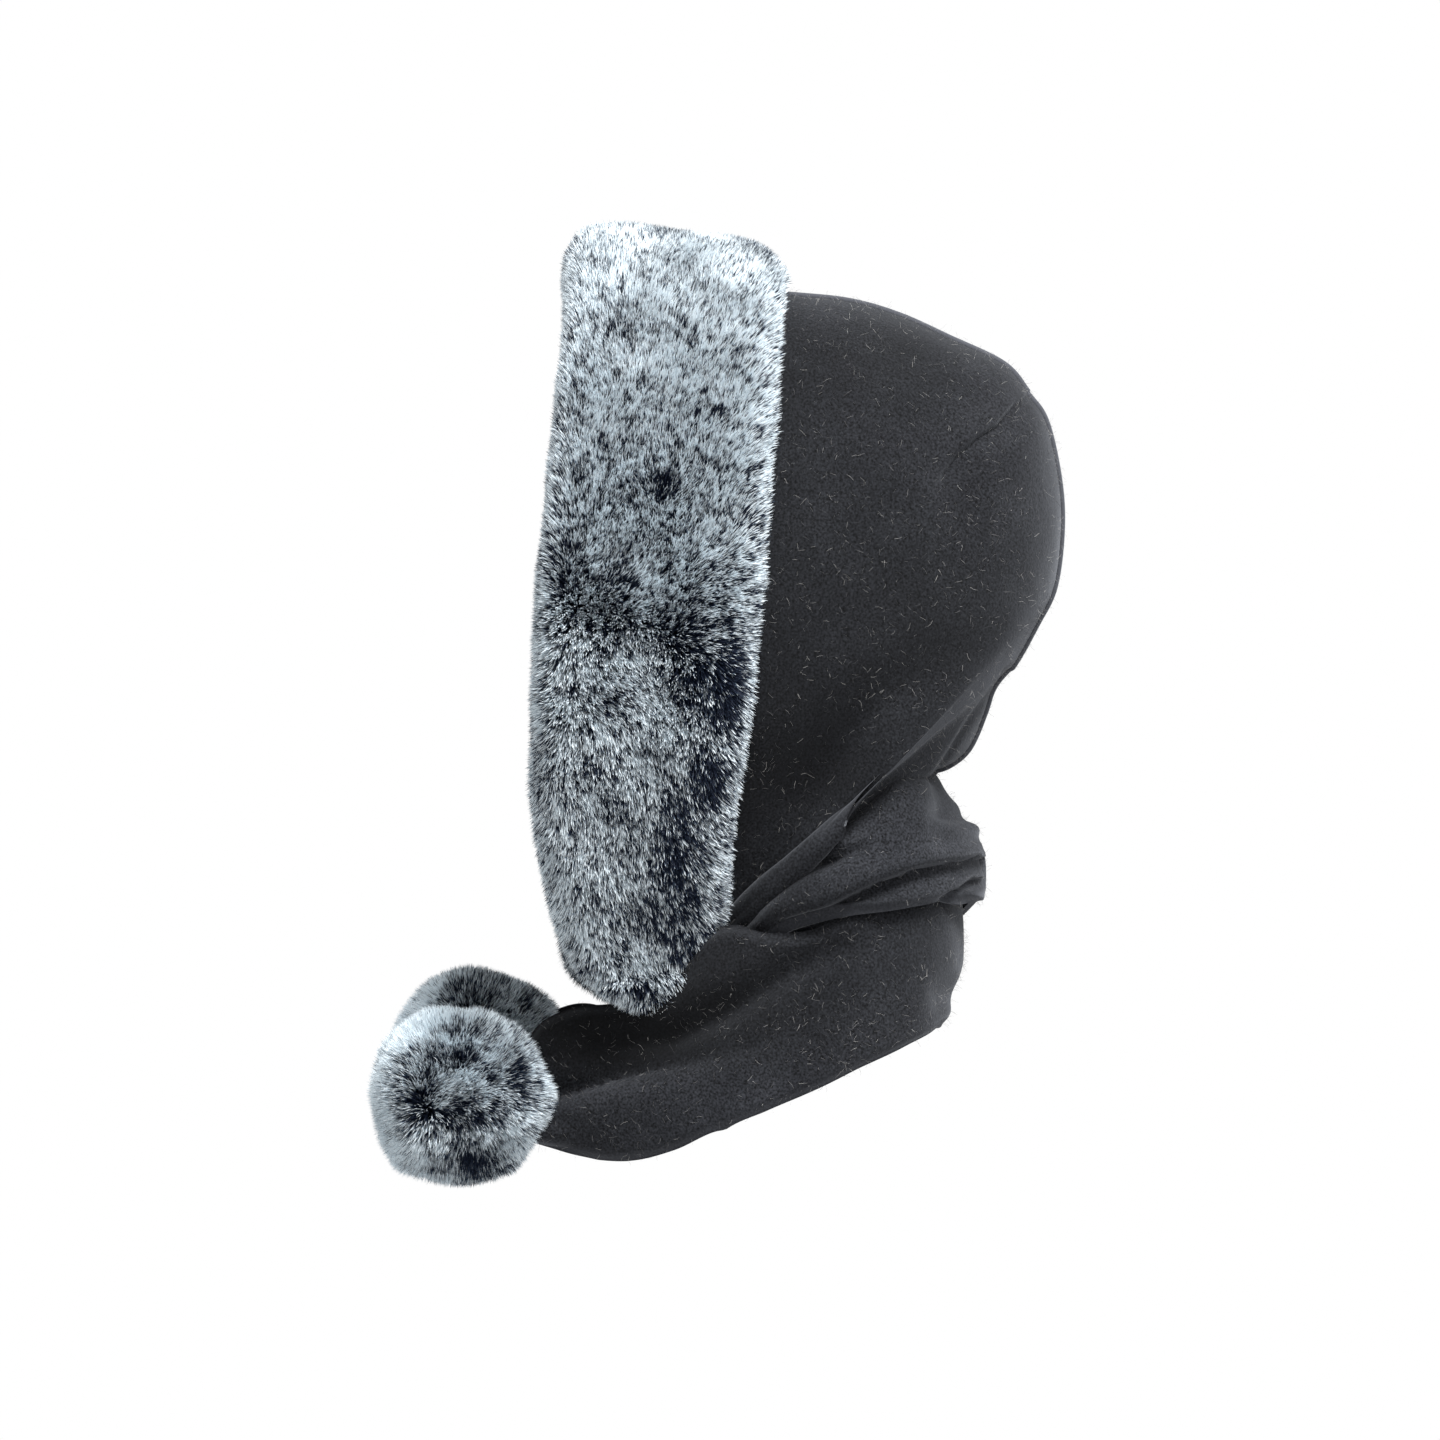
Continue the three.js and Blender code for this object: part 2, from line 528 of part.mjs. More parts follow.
// Fur trim: a swept pile with locks fused all over its outer side
function furTrim() {
  const frames = trimFrames();
  const rings = frames.map((frame) => trimRing(frame, (trimPile - trimLock) / trimPile));
  const columns = rings[0].length;
  const positions = rings.flat().flatMap((point) => point.toArray());
  const index = [];
  const crown = (frames.length - 1) / 2;
  for (let i = 0; i < frames.length - 1; i += 1) {
    for (let j = 0; j < columns; j += 1) {
      const k = (j + 1) % columns;
      const [a, b, c, d] = [i * columns + j, (i + 1) * columns + j, (i + 1) * columns + k, i * columns + k];
      if (i < crown) index.push(a, b, c, a, c, d);
      else index.push(a, b, d, b, c, d);
    }
  }
  for (const [start, turned] of [[0, false], [(frames.length - 1) * columns, true]]) {
    for (let j = 0; j < columns / 2 - 1; j += 1) {
      const [a, b, c, d] = [start + j, start + j + 1, start + columns - 2 - j, start + columns - 1 - j];
      if (turned) index.push(a, d, c, a, c, b);
      else index.push(a, b, c, a, c, d);
    }
  }
  let solid = solidOf(facingOut(positions, index));
  for (const lock of trimLocks(rings)) solid = solid.add(lock);
  for (const side of [1, -1]) solid = solid.subtract(solidOf(hoodPanel(side, furGap - cutSlack)));
  // Lock corners cut off inside the panels are dropped
  const bodies = solid.decompose().sort((a, b) => b.volume() - a.volume());
  return geometryOf(bodies[0]);
}

// Height of the panels' lower edge in side view, along the chin edge and on to the nape
function neckLineZ(y) {
  if (y < chinRearY) {
    const share = Math.min(Math.max((y - chinFrontY) / chinLength, 0), 1);
    return chinFrontZ + chinLift * share - scarfGap;
  }
  const share = Math.min((y - chinRearY) / (napeY - chinRearY), 1);
  return chinRearZ + (napeZ - chinRearZ) * share - scarfGap;
}

// Plan view of a tail's outermost line
function tailLine(rows, place) {
  const row = rowAt(rows, place);
  return new THREE.Vector2(row.across * wrapHalfWidth, wrapFrontY + row.along * wrapDepth);
}

// Direction of a tail's outermost line, from the chin towards the pompom
function tailRun(rows, place) {
  const after = tailLine(rows, Math.min(place + runStep, rows.length - 1));
  return after.sub(tailLine(rows, Math.max(place - runStep, 0))).normalize();
}

// Scarf tail between its top and bottom edges, with the outermost line bulging between them
function scarfTail(rows) {
  const outer = [];
  const inner = [];
  const steps = Math.round((rows.length - 1) * tailStepsPerRow);
  const facing = rows[0].across > 0 ? 1 : -1;
  for (let i = 0; i <= steps; i += 1) {
    const place = i / steps * (rows.length - 1);
    const row = rowAt(rows, place);
    const middle = tailLine(rows, place);
    const run = tailRun(rows, place);
    const out = new THREE.Vector3(-facing * run.y, facing * run.x, 0);
    const z = neckLineZ(middle.y);
    const width = (row.bottom - row.top) * scarfWidth;
    const outerRow = [];
    const innerRow = [];
    for (let j = 0; j <= tailColumns; j += 1) {
      const down = j / tailColumns;
      const upper = down < bulgeHeight;
      const reach = upper ? bulgeHeight : bulgeHeight - 1;
      const away = 1 - down / bulgeHeight;
      const share = upper ? away : (down - bulgeHeight) / (1 - bulgeHeight);
      const drawn = (upper ? row.tuck : row.flare) * wrapStandOff;
      const slope = 2 * drawn * share / (reach * width);
      const point = new THREE.Vector3(middle.x, middle.y, z - row.top * scarfWidth - width * down);
      point.addScaledVector(out, -drawn * share ** 2);
      const normal = out.clone().add(new THREE.Vector3(0, 0, slope)).normalize();
      outerRow.push(point);
      innerRow.push(point.clone().addScaledVector(normal, -scarfCloth));
    }
    outer.push(outerRow);
    inner.push(innerRow);
  }
  return sheetGeometry(outer, inner);
}

// Pompom on the end of a tail: a round heart with locks fused all round it but for the tail's seat
function pompom(rows) {
  const last = rows.length - 1;
  const row = rows[last];
  const end = tailLine(rows, last);
  const run = tailRun(rows, last);
  const inward = new THREE.Vector2(-run.y, run.x).multiplyScalar(row.across > 0 ? -1 : 1);
  end.addScaledVector(inward, scarfCloth / 2);
  const endZ = neckLineZ(end.y) - (row.top + row.bottom) / 2 * scarfWidth;
  const droop = THREE.MathUtils.degToRad(pompomDroop);
  const hang = new THREE.Vector3(run.x * Math.cos(droop), run.y * Math.cos(droop), -Math.sin(droop));
  const centre = new THREE.Vector3(end.x, end.y, endZ).addScaledVector(hang, pompomCore / 2 + scarfGap);
  const heart = new THREE.IcosahedronGeometry(pompomCore / 2, 2);
  heart.translate(centre.x, centre.y, centre.z);
  let solid = solidOf(heart);
  const length = (pompomDiameter - pompomCore) / 2 + lockSink;
  const width = pompomCore * Math.sqrt(Math.PI / pompomLocks);
  for (let i = 0; i < pompomLocks; i += 1) {
    const height = 1 - (2 * i + 1) / pompomLocks;
    const round = i * Math.PI * (3 - Math.sqrt(5));
    const flat = Math.sqrt(1 - height * height);
    const direction = new THREE.Vector3(flat * Math.cos(round), flat * Math.sin(round), height);
    if (direction.angleTo(hang.clone().negate()) < THREE.MathUtils.degToRad(seatCone)) continue;
    const foot = centre.clone().addScaledVector(direction, pompomCore / 2 - lockSink);
    solid = solid.add(lockSolid(foot, direction, length, width));
  }
  return geometryOf(solid);
}

const hood = new THREE.Group();
function addPiece(name, geometry, look) {
  const piece = new THREE.Mesh(geometry, new THREE.MeshStandardMaterial(look));
  piece.name = name;
  hood.add(piece);
  return piece;
}

addPiece('hood_panel_left', hoodPanel(1), fleece);
addPiece('hood_panel_right', hoodPanel(-1), fleece);
addPiece('fur_trim', furTrim(), frostedFur);
addPiece('scarf_tail_left', scarfTail(leftTailRows), fleece);
addPiece('scarf_tail_right', scarfTail(rightTailRows), fleece);

addPiece('pompom_left', pompom(leftTailRows), frostedFur);
addPiece('pompom_right', pompom(rightTailRows), frostedFur);

export default hood;
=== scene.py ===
import math

import bpy
import numpy as np
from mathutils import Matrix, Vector, noise


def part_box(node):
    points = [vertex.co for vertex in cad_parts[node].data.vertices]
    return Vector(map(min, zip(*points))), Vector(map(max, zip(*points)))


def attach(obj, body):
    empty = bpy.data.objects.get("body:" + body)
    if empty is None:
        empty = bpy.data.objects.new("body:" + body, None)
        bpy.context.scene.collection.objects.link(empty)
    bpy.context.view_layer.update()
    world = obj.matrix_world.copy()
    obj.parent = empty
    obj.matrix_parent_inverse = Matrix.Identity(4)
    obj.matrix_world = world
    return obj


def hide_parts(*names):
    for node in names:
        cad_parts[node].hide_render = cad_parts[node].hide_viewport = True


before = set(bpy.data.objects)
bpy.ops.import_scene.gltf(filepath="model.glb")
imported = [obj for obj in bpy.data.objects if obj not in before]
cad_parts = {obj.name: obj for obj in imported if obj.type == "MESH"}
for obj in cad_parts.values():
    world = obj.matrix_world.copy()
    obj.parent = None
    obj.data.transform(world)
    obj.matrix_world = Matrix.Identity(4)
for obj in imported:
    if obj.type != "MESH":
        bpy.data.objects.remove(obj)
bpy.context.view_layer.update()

# Sizes in millimetres until a mesh is made, and shares of them
HOOD_DEPTH = 235.5
FRONT_REACH = 128
HOOD_HEIGHT = 340
CROWN_RISE = 12
HOOD_HALF_WIDTH = 100
CHIN_HALF_WIDTH = 46
CHIN_LENGTH = 64
CHIN_LIFT = 8
RIGHT_CHIN_FORWARD = 6
CHIN_FADE = 6
PANEL_CLOTH = 2.4
SEAM_GAP = 0.02
SEAM_RIDGE_HEIGHT = 2.2
SEAM_FOOT = 5.0
SEAM_EDGE_LIFT = -0.4
CLIMB_AT_WIDEST = 0.4
TRIM_REAR_RIB = 3
RELIEF_START = (TRIM_REAR_RIB - 0.6, TRIM_REAR_RIB + 0.1)  # ribs where seam and folds come up
RIM_RIB = 13.5
RIM_PAINTED_SHEEN = 0.5
NECK_RIB = 17

TRIM_WIDTH = 100
TRIM_OVERHANG = 14
TRIM_PILE = 30
TRIM_LIP = 10
TRIM_TIP = 22
TIP_SPREAD = 0.35
FUR_GAP = 0.4
TRIM_REAR_SHARE = 0.935  # where the backing ends at the chin
TRIM_REAR_LOSS = 0.06  # how much further forward it ends from half way up
TIP_BACK = 8
TIP_ROUNDING = 9
CHIN_BACK = 6
RIGHT_CHIN_BACK = 4
POMPOM_DIAMETER = 92
POMPOM_HEART = 35

SCARF_CLOTH = 3
SCARF_WIDTH = 110
SCARF_GAP = 0.4
WRAP_STAND_OFF = 21
WRAP_HALF_WIDTH = HOOD_HALF_WIDTH * 0.58 + WRAP_STAND_OFF + PANEL_CLOTH
WRAP_FRONT_Y = -107
WRAP_DEPTH = 175.04
BULGE_HEIGHT = 0.55
TAIL_ROLLED_TOP = (6, 3.5)  # how far the edge turns in, and over what width
TAIL_ROLLED_BOTTOM = (4, 3)
TAIL_LIFT = (-12, 4.5)  # deepest and highest that a fold may go
NAPE_FOLDS_START = (34, 50)  # y where the folds behind the neck come up
TAIL_PLEATS = 9
TAIL_PLEAT_HEIGHT = 0.8

CHIN_FRONT_Z = CROWN_RISE - HOOD_HEIGHT
CHIN_REAR_Y = CHIN_LENGTH - FRONT_REACH
CHIN_REAR_Z = CHIN_FRONT_Z + CHIN_LIFT
NAPE_Y = 50.04
NAPE_Z = -230.1

# How fine the meshes are: steps from, to, how many points
PANEL_RIB_STEPS = ((0, 5.6, 40), (5.6, 9.6, 96), (9.6, NECK_RIB, 66))
PANEL_UPPER_STEPS = ((0, 0.36, 11), (0.36, 1, 64))
PANEL_LOWER_POINTS = 25
TAIL_POINTS = (220, 56)
TRIM_RINGS = 84
TRIM_RING_POINTS = 54
TRIM_INNER_POINTS = 6
TRIM_TIP_RINGS = 6
POMPOM_POINTS = (34, 48)

# Ribs of a panel from the face edge to the nape: along, drop, foot, inset, width, rise, bow
RIBS = np.array([
    (0, 0, 0, 1, 0.94, 0.53, 0.072),
    (0.14, 0.002, 0.27, 1, 0.97, 0.54, 0.035),
    (0.289, 0.009, 0.53, 1, 0.99, 0.55, -0.005),
    (0.422, 0.016, 0.77, 1, 1, 0.55, -0.045),
    (0.544, 0.025, 0.8, 1, 1, 0.55, -0.042),
    (0.65, 0.046, 0.82, 1, 0.99, 0.55, -0.038),
    (0.756, 0.079, 0.84, 1, 0.975, 0.55, -0.034),
    (0.873, 0.118, 0.86, 1, 0.955, 0.55, -0.03),
    (0.926, 0.16, 0.88, 1, 0.935, 0.54, -0.027),
    (0.966, 0.204, 0.9, 1, 0.92, 0.53, -0.025),
    (0.994, 0.29, 0.92, 1, 0.9, 0.51, -0.022),
    (1, 0.366, 0.94, 1, 0.88, 0.49, -0.02),
    (0.985, 0.45, 0.96, 1, 0.85, 0.47, -0.014),
    (0.949, 0.505, 0.98, 1, 0.83, 0.45, 0.0),
    (0.9, 0.565, 1, 1, 0.8, 0.43, 0.016),
    (0.853, 0.61, 0.995, 0.96, 0.77, 0.43, 0.028),
    (0.8, 0.692, 0.98, 0.92, 0.73, 0.43, 0.044),
    (0.724, 0.731, 0.97, 0.88, 0.68, 0.43, 0.038),
])

# The backing lies this share of the pile above the cloth, the fibres do the rest
BACKING_SHARE = 0.72

# Section of the trim from its rear edge over the pile to the rolled lip: back, high
TRIM_SECTION = np.array([
    (1.02, 0.2), (0.96, 0.52), (0.88, 0.72), (0.7, 0.83), (0.44, 0.88), (0.18, 0.97),
    (0.02, 1), (-0.55, 0.8), (-0.95, 0.4), (-1, -0.1), (-0.7, -0.9), (-0.06, -0.8),
])

# Trim from its hanging tip up to the crown: hang, climb, full, pile
TRIM_ROWS = np.array([
    (0.5, 0, 0.64, 0.5), (0.25, 0, 0.88, 0.78), (0, 0, 1, 0.85), (0, 0.2, 1, 0.88),
    (0, 0.4, 1, 0.88), (0, 0.6, 1, 0.92), (0, 0.8, 1, 0.98), (0, 1, 1, 1),
])

# Scarf tails from the chin to the pompom: across, along, top, bottom, tuck, flare
RIGHT_TAIL = np.array([
    (-0.559, 0.131, 0.008, 0.337, 0.05, 0.05), (-0.319, 0.063, 0.142, 0.442, 0.1, 0.05),
    (0, 0.04, 0.219, 0.537, 0.14, 0.05), (0.307, 0.069, 0.198, 0.507, 0.14, 0.05),
    (0.528, 0.16, 0.134, 0.388, 0.14, 0.05), (0.713, 0.269, -0.05, 0.207, 0.3, 0),
    (0.897, 0.383, -0.1, 0.137, 0.5, 0), (0.983, 0.486, -0.12, 0.197, 0.6, 0),
    (1.02, 0.611, -0.14, 0.314, 0.65, 0), (0.934, 0.771, -0.13, 0.483, 0.65, 0),
    (0.627, 0.92, 0.02, 0.618, 1.1, 0), (0.221, 0.994, -0.02, 0.609, 1.6, 0),
    (-0.221, 0.994, -0.02, 0.632, 1.6, 0.05), (-0.676, 0.931, 0.03, 0.741, 1.0, 0.1),
    (-0.995, 0.8, 0.13, 0.874, 0.52, 0.14), (-1.118, 0.623, 0.179, 0.906, 0.24, 0.19),
    (-1.106, 0.44, 0.113, 0.895, 0.19, 0.24), (-1.02, 0.257, 0.056, 0.811, 0.29, 0.33),
    (-0.897, 0.08, 0.3, 0.827, 0.33, 0.33), (-0.737, -0.051, 0.255, 0.815, 0.24, 0.29),
    (-0.627, -0.154, 0.196, 0.733, 0.1, 0.14), (-0.608, -0.237, 0.224, 0.587, 0, 0),
])
LEFT_TAIL = np.array([
    (0.559, 0.08, 0, 0.327, 0.05, 0.05), (0.332, 0.017, 0.133, 0.442, 0.1, 0.05),
    (0, -0.006, 0.21, 0.546, 0.14, 0.05), (-0.344, 0, 0.193, 0.511, 0.14, 0.05),
    (-0.639, 0.089, 0.238, 0.456, 0.14, 0.05), (-0.823, 0.257, 0.074, 0.283, 0.19, 0),
    (-0.971, 0.394, 0.037, 0.237, 0.29, 0), (-1.007, 0.508, -0.01, 0.308, 0.38, 0),
    (-0.989, 0.634, -0.007, 0.529, 0.43, 0), (-0.86, 0.783, 0.107, 0.834, 0.38, 0.14),
    (-0.516, 0.886, 0.345, 1.072, 0.29, 0.33), (0, 0.937, 0.514, 1.141, 0.1, 0.3),
    (0.455, 0.903, 0.55, 1.187, 0.1, 0.2), (0.774, 0.794, 0.457, 1.13, 0.1, 0.12),
    (0.934, 0.646, 0.312, 1.044, 0.1, 0.1), (0.983, 0.508, 0.244, 0.972, 0.1, 0.1),
    (0.98, 0.371, 0.09, 0.89, 0.08, 0.1), (0.934, 0.234, -0.1, 0.821, 0.33, 0.12),
    (0.835, 0.097, 0.05, 0.885, 0.38, 0.12), (0.737, -0.029, 0.18, 0.91, 0.29, 0.15),
    (0.651, -0.16, 0.192, 0.874, 0.14, 0.24), (0.614, -0.269, 0.265, 0.824, 0.05, 0.1),
    (0.608, -0.317, 0.387, 0.787, 0, 0),
])

# Centre seam in section: distance from the centre plane, lift and how much painted sheen lightens it
SEAM_RIDGE = (
    (4.3, -2.0, 0.0), (3.8, -2.5, 0.0), (3.4, -2.3, 0.2), (3.1, -1.4, 0.9), (2.7, -0.8, 1.0),
    (2.1, -0.35, 1.0), (1.2, 0.0, 1.0),
)

# Folds in side view, each a line of y, z and height, then its width above and below the line
PANEL_FOLDS = (
    (((46, -86, -1.2), (53, -76, -1.3), (64, -67, -1.4), (75, -61, -1.3), (84, -50, -1)), 1, 1),
    (((46, -86, -1.6), (53, -76, -2.4), (64, -67, -2.4), (75, -61, -2.4), (84, -50, -2)), 1.5, 9),
    (((50, -84, -3.4), (53, -102, -2)), 12, 12),
    (((-62, -290, -2.5), (-28, -246, -6), (3, -208, -6.5), (45, -178, -5), (80, -156, -1)), 16, 14),
    (((-47, -211, 2), (-5, -190, 2.6), (40, -150, 1)), 15, 15),
    (((80, -184, -1.6), (62, -208, -1.8), (44, -235, -1.4)), 1.6, 1.6),
)
UPPER_WRAP_FOLDS = (
    (((-42, -309, -3), (-14, -302, -6.5), (13, -289, -7.5), (37, -281, -7), (64, -277, -5)), 1.3, 8),
    (((-42, -303, 1), (-14, -296, 2), (13, -283, 2.6), (37, -275, 2.6), (64, -271, 2.4)), 6, 4),
    (((-24, -277, -4), (-10, -274, -6), (8, -269, -0.6)), 1.5, 7),
    (((-24, -274, 1), (-10, -271, 1.6), (8, -266, 0.6)), 4, 2),
    (((46, -298, -5), (64, -288, -5)), 1.6, 4),
    (((58, -292, 2), (67, -297, 2)), 2, 2),
)
# The same behind the neck, on both sides
UPPER_NAPE_FOLDS = (
    (((30, -252, -7), (75, -252, -9)), 7, 7), (((30, -241, -5), (75, -241, -6)), 7, 6),
    (((30, -267, -4), (75, -267, -5)), 6, 6),
)
LOWER_NAPE_FOLDS = ((((30, -346, -4.5), (75, -346, -4.5)), 12, 10),)
LOWER_WRAP_FOLDS = (
    (((-125, -366, -5), (-92, -364, -8), (-68, -354, -9), (-34, -334, -9), (-8, -321, -5),
      (9, -319, -1)), 9, 8),
    (((-152, -398, -10), (-136, -392, -10), (-118, -386, -8), (-96, -381, -5), (-58, -374, -1)),
     14, 1.4),
    (((-148, -406, 4), (-115, -395, 4), (-80, -388, 3), (-30, -370, 1.2)), 6, 16),
    (((-166, -416, 2.4), (-145, -411, 1.4)), 2, 2.4),
    (((-160, -422, -2.4), (-136, -419, -1)), 3, 3),
)

# Painted light and shade on the fleece in side view, paler and darker patches: y, z, half length,
# half height, strength
PAINTED_LIGHT_AND_SHADE = (
    (-122, -366, 55, 22, -0.85), (-62, -345, 50, 14, -0.4), (15, -275, 60, 26, 0.8),
    (-60, -398, 80, 22, 1.5), (20, -350, 40, 22, 0.2), (-20, -235, 34, 34, -0.5),
    (-60, -255, 20, 60, -0.35), (50, -180, 34, 24, -0.4), (-34, -90, 14, 150, -0.2),
    (15, -25, 55, 24, -0.45), (40, -140, 40, 26, -0.2), (-100, -372, 40, 14, -0.5),
)

# Darker places in the fur in side view, where it parts and, on the lower rear, painted shade: y, z,
# half length, half height, strength
TRIM_PARTINGS_AND_SHADE = (
    (-97, -96, 8, 5, 0.8), (-75, -182, 14, 20, 0.55), (-72, -233, 10, 18, 0.85),
    (-86, -268, 11, 34, 0.75), (-62, -193, 12, 28, 0.85), (-85, -165, 14, 10, 0.4),
    (-44, 27, 12, 8, 0.9), (-92, 31, 6, 4, 0.7), (-137, 24, 4, 6, 0.6),
    (-106, -300, 16, 12, 0.35), (-84, -315, 16, 14, 0.5), (-66, -300, 8, 20, 0.45),
    (-140, -128, 8, 6, 0.4), (-122, -140, 8, 10, 0.4), (-146, -60, 5, 6, 0.4),
    (-130, -230, 10, 8, 0.35), (-120, -20, 8, 5, 0.4), (-70, -60, 6, 5, 0.35),
    (-100, -340, 12, 6, 0.35), (-112, -262, 9, 12, 0.3), (-55, -120, 6, 12, 0.3),
)
LEFT_POMPOM_PARTINGS = (
    (-214, -396, 10, 19, 0.75), (-204, -402, 13, 9, 0.65), (-187, -420, 11, 9, 0.8),
    (-206, -420, 12, 7, 0.5), (-196, -378, 11, 4, 0.5), (-172, -384, 6, 12, 0.5),
    (-180, -400, 6, 5, 0.45), (-190, -366, 9, 4, 0.35), (-232, -405, 5, 6, 0.35),
)
RIGHT_POMPOM_PARTINGS = (
    (-190, -350, 34, 12, 0.5), (-164, -352, 12, 9, 0.55), (-182, -334, 20, 5, 0.55),
)

# Soft unevenness: strength, size of its lumps, seed
PANEL_UNEVEN = ((0.7, 45, 2), (0.25, 14, 5))
TAIL_UNEVEN = ((0.9, 38, 11), (0.3, 12, 17))
POMPOM_LUMPS = ((5, 26, 0), (2.2, 11, 1))
POMPOM_TONES = ((0.3, 20, 9), (0.45, 7, 11))

# Fur: z, and shares of the way over the pile, between which it changes, then how pale or dark
TRIM_FALL_BELOW, TRIM_RISE_ABOVE = -250, -70
TRIM_CROWN = (-170, 10)
FRINGE_END = (-150, -110)
FAR_TIP = (-290, -320)
FRINGE_WIDTH = (0.02, 0.1)
COVER_END = 0.93
# The second value paints light on the crown, the third darkens the partings and paints shade on the
# lower rear
TRIM_FROST, CROWN_PAINTED_LIGHT, PARTING_AND_PAINTED_SHADE, FAR_TIP_DARK = 1.04, 0.2, 1.6, 0.5
# The second and third values paint light on the front and the top of the pompoms
POMPOM_FROST, POMPOM_FRONT_PAINTED_LIGHT, POMPOM_TOP_PAINTED_LIGHT, FAR_POMPOM_FROST = 1.15, 0.8, 0.2, 0.2
POMPOM_PARTING_DARK = 1.8

# Settings of the fibre tree, in metres and fibres per square metre
TRIM_FIBRES = {
    "Density": 3.5e6, "Length": 0.0088, "Width": 0.00145, "Curl": 0.25, "Clump Size": 0.0029,
    "Clump Pull": 0.55, "Wildness": 0.22, "Frost Spread": 0.8, "Gap Dark": 2.0,
}
POMPOM_FIBRES = {
    "Density": 5.6e6, "Length": 0.012, "Width": 0.0014, "Curl": 0.25, "Clump Size": 0.0033,
    "Clump Pull": 0.6, "Wildness": 0.22, "Frost Spread": 0.8, "Gap Dark": 2.0,
}
LINT_FIBRES = {
    "Length": 0.0044, "Width": 0.00009, "Curl": 0.5, "Clump Size": 0.01,
    "Clump Pull": 0.0, "Wildness": 1.0, "Frost Spread": 0.5, "Gap Dark": 0.0,
}

# Colours
FLEECE_LIGHT, FLEECE_DARK = (0.0112, 0.0118, 0.0138, 1), (0.0065, 0.0069, 0.0083, 1)
FLEECE_PATCH = 0.035  # size of its lighter and darker patches, in metres
# The first colour is painted sheen for the seam ridge and the rims
FLEECE_PAINTED_SHEEN, FLEECE_SHEEN = (0.06, 0.063, 0.073, 1), (0.55, 0.58, 0.64, 1)
FUR_ROOT, FUR_TIP = (0.006, 0.011, 0.028, 1), (0.85, 0.925, 0.97, 1)
FUR_MIDDLE, FUR_MIDDLE_AT = (0.11, 0.165, 0.24, 1), 0.45
UNDERFUR_DARK, UNDERFUR_LIGHT = (0.002, 0.003, 0.007, 1), (0.012, 0.016, 0.026, 1)
LINT_DARK, LINT_LIGHT = (0.04, 0.04, 0.045, 1), (0.5, 0.49, 0.47, 1)
FLOOR_GREY = (0.92, 0.92, 0.92, 1)
ROOM_LIGHT = 0.72


def blend_rows(rows, place):
    """Columns of a table at places counted in rows."""
    last = len(rows) - 1
    at = np.clip(np.asarray(place, float), 0, last)
    i = np.minimum(np.floor(at).astype(int), last - 1)
    t = (at - i)[..., None]
    longer = np.vstack([2 * rows[0] - rows[1], rows, 2 * rows[-1] - rows[-2]])
    before, start, end, after = (longer[i + k] for k in range(4))
    slope, next_slope = (end - before) / 2, (after - start) / 2
    blended = (
        start * (2 * t**3 - 3 * t**2 + 1) + slope * (t**3 - 2 * t**2 + t)
        + end * (3 * t**2 - 2 * t**3) + next_slope * (t**3 - t**2)
    )
    return np.moveaxis(blended, -1, 0)


def steps(stretches):
    """Even steps through stretches that follow each other."""
    parts = [np.linspace(start, end, count)[:-1] for start, end, count in stretches]
    return np.concatenate(parts + [[stretches[-1][1]]])


def unit(vectors):
    """Vectors brought to length 1."""
    return vectors / np.maximum(np.linalg.norm(vectors, axis=-1, keepdims=True), 1e-9)


def soft_step(low, high, value):
    """0 up to low, 1 from high on and a soft rise between them."""
    t = np.clip((value - low) / (high - low), 0, 1)
    return t * t * (3 - 2 * t)


def cloud(points, size, seed):
    """Soft irregular values from -1 to 1, in lumps about size across."""
    flat = np.asarray(points).reshape(-1, 3) / size + np.array([3.1, 1.7, 2.3]) * seed
    values = np.array([noise.noise(Vector(point)) for point in flat])
    return values.reshape(np.asarray(points).shape[:-1])


def clouds(points, layers, shift=0, start=0.0):
    """A start value with layers of soft irregular values on it."""
    parts = (strength * cloud(points, size, seed + shift) for strength, size, seed in layers)
    return sum(parts, start)


def swirls(points, size, seeds):
    """Soft irregular directions."""
    return np.stack([cloud(points, size, seed) for seed in seeds], axis=-1)


def panel_point(place, climb, side):
    """Base surface of a panel. place counts ribs, climb runs from the chin edge to the seam."""
    place, climb = np.broadcast_arrays(np.asarray(place, float), np.asarray(climb, float))
    along, drop, foot, inset, width, rise, bow = blend_rows(RIBS, place)
    foot_y = foot * CHIN_LENGTH - FRONT_REACH
    foot_z = CHIN_FRONT_Z + foot * CHIN_LIFT
    chord_y = along * HOOD_DEPTH - FRONT_REACH - foot_y
    chord_z = CROWN_RISE - drop * HOOD_HEIGHT - foot_z
    low_x = inset * CHIN_HALF_WIDTH
    widest = width * HOOD_HALF_WIDTH
    t = climb / CLIMB_AT_WIDEST
    angle = np.clip((climb - CLIMB_AT_WIDEST) / (1 - CLIMB_AT_WIDEST), 0, 1) * math.pi / 2
    lower = climb < CLIMB_AT_WIDEST
    share = np.where(lower, rise * t, rise + (1 - rise) * np.sin(angle) ** 0.95)
    lower_x = low_x + (widest - low_x) * np.sin(np.clip(t, 0, 1) * math.pi / 2)
    upper_x = SEAM_GAP / 2 + (widest - SEAM_GAP / 2) * np.maximum(np.cos(angle), 0) ** 0.85
    x = np.where(lower, lower_x, upper_x)
    chord = np.hypot(chord_y, chord_z)
    bend = np.maximum(share, 0) ** 0.7
    bow = bow * HOOD_DEPTH * 4 * bend * (1 - bend)
    forward = np.where(
        side < 0,
        RIGHT_CHIN_FORWARD * (1 - np.minimum(foot, 1)) * np.maximum(1 - share, 0) ** CHIN_FADE,
        0,
    )
    y = foot_y + chord_y * share - bow * chord_z / chord - forward
    z = foot_z + chord_z * share + bow * chord_y / chord
    return np.stack([side * x, y, z], axis=-1)


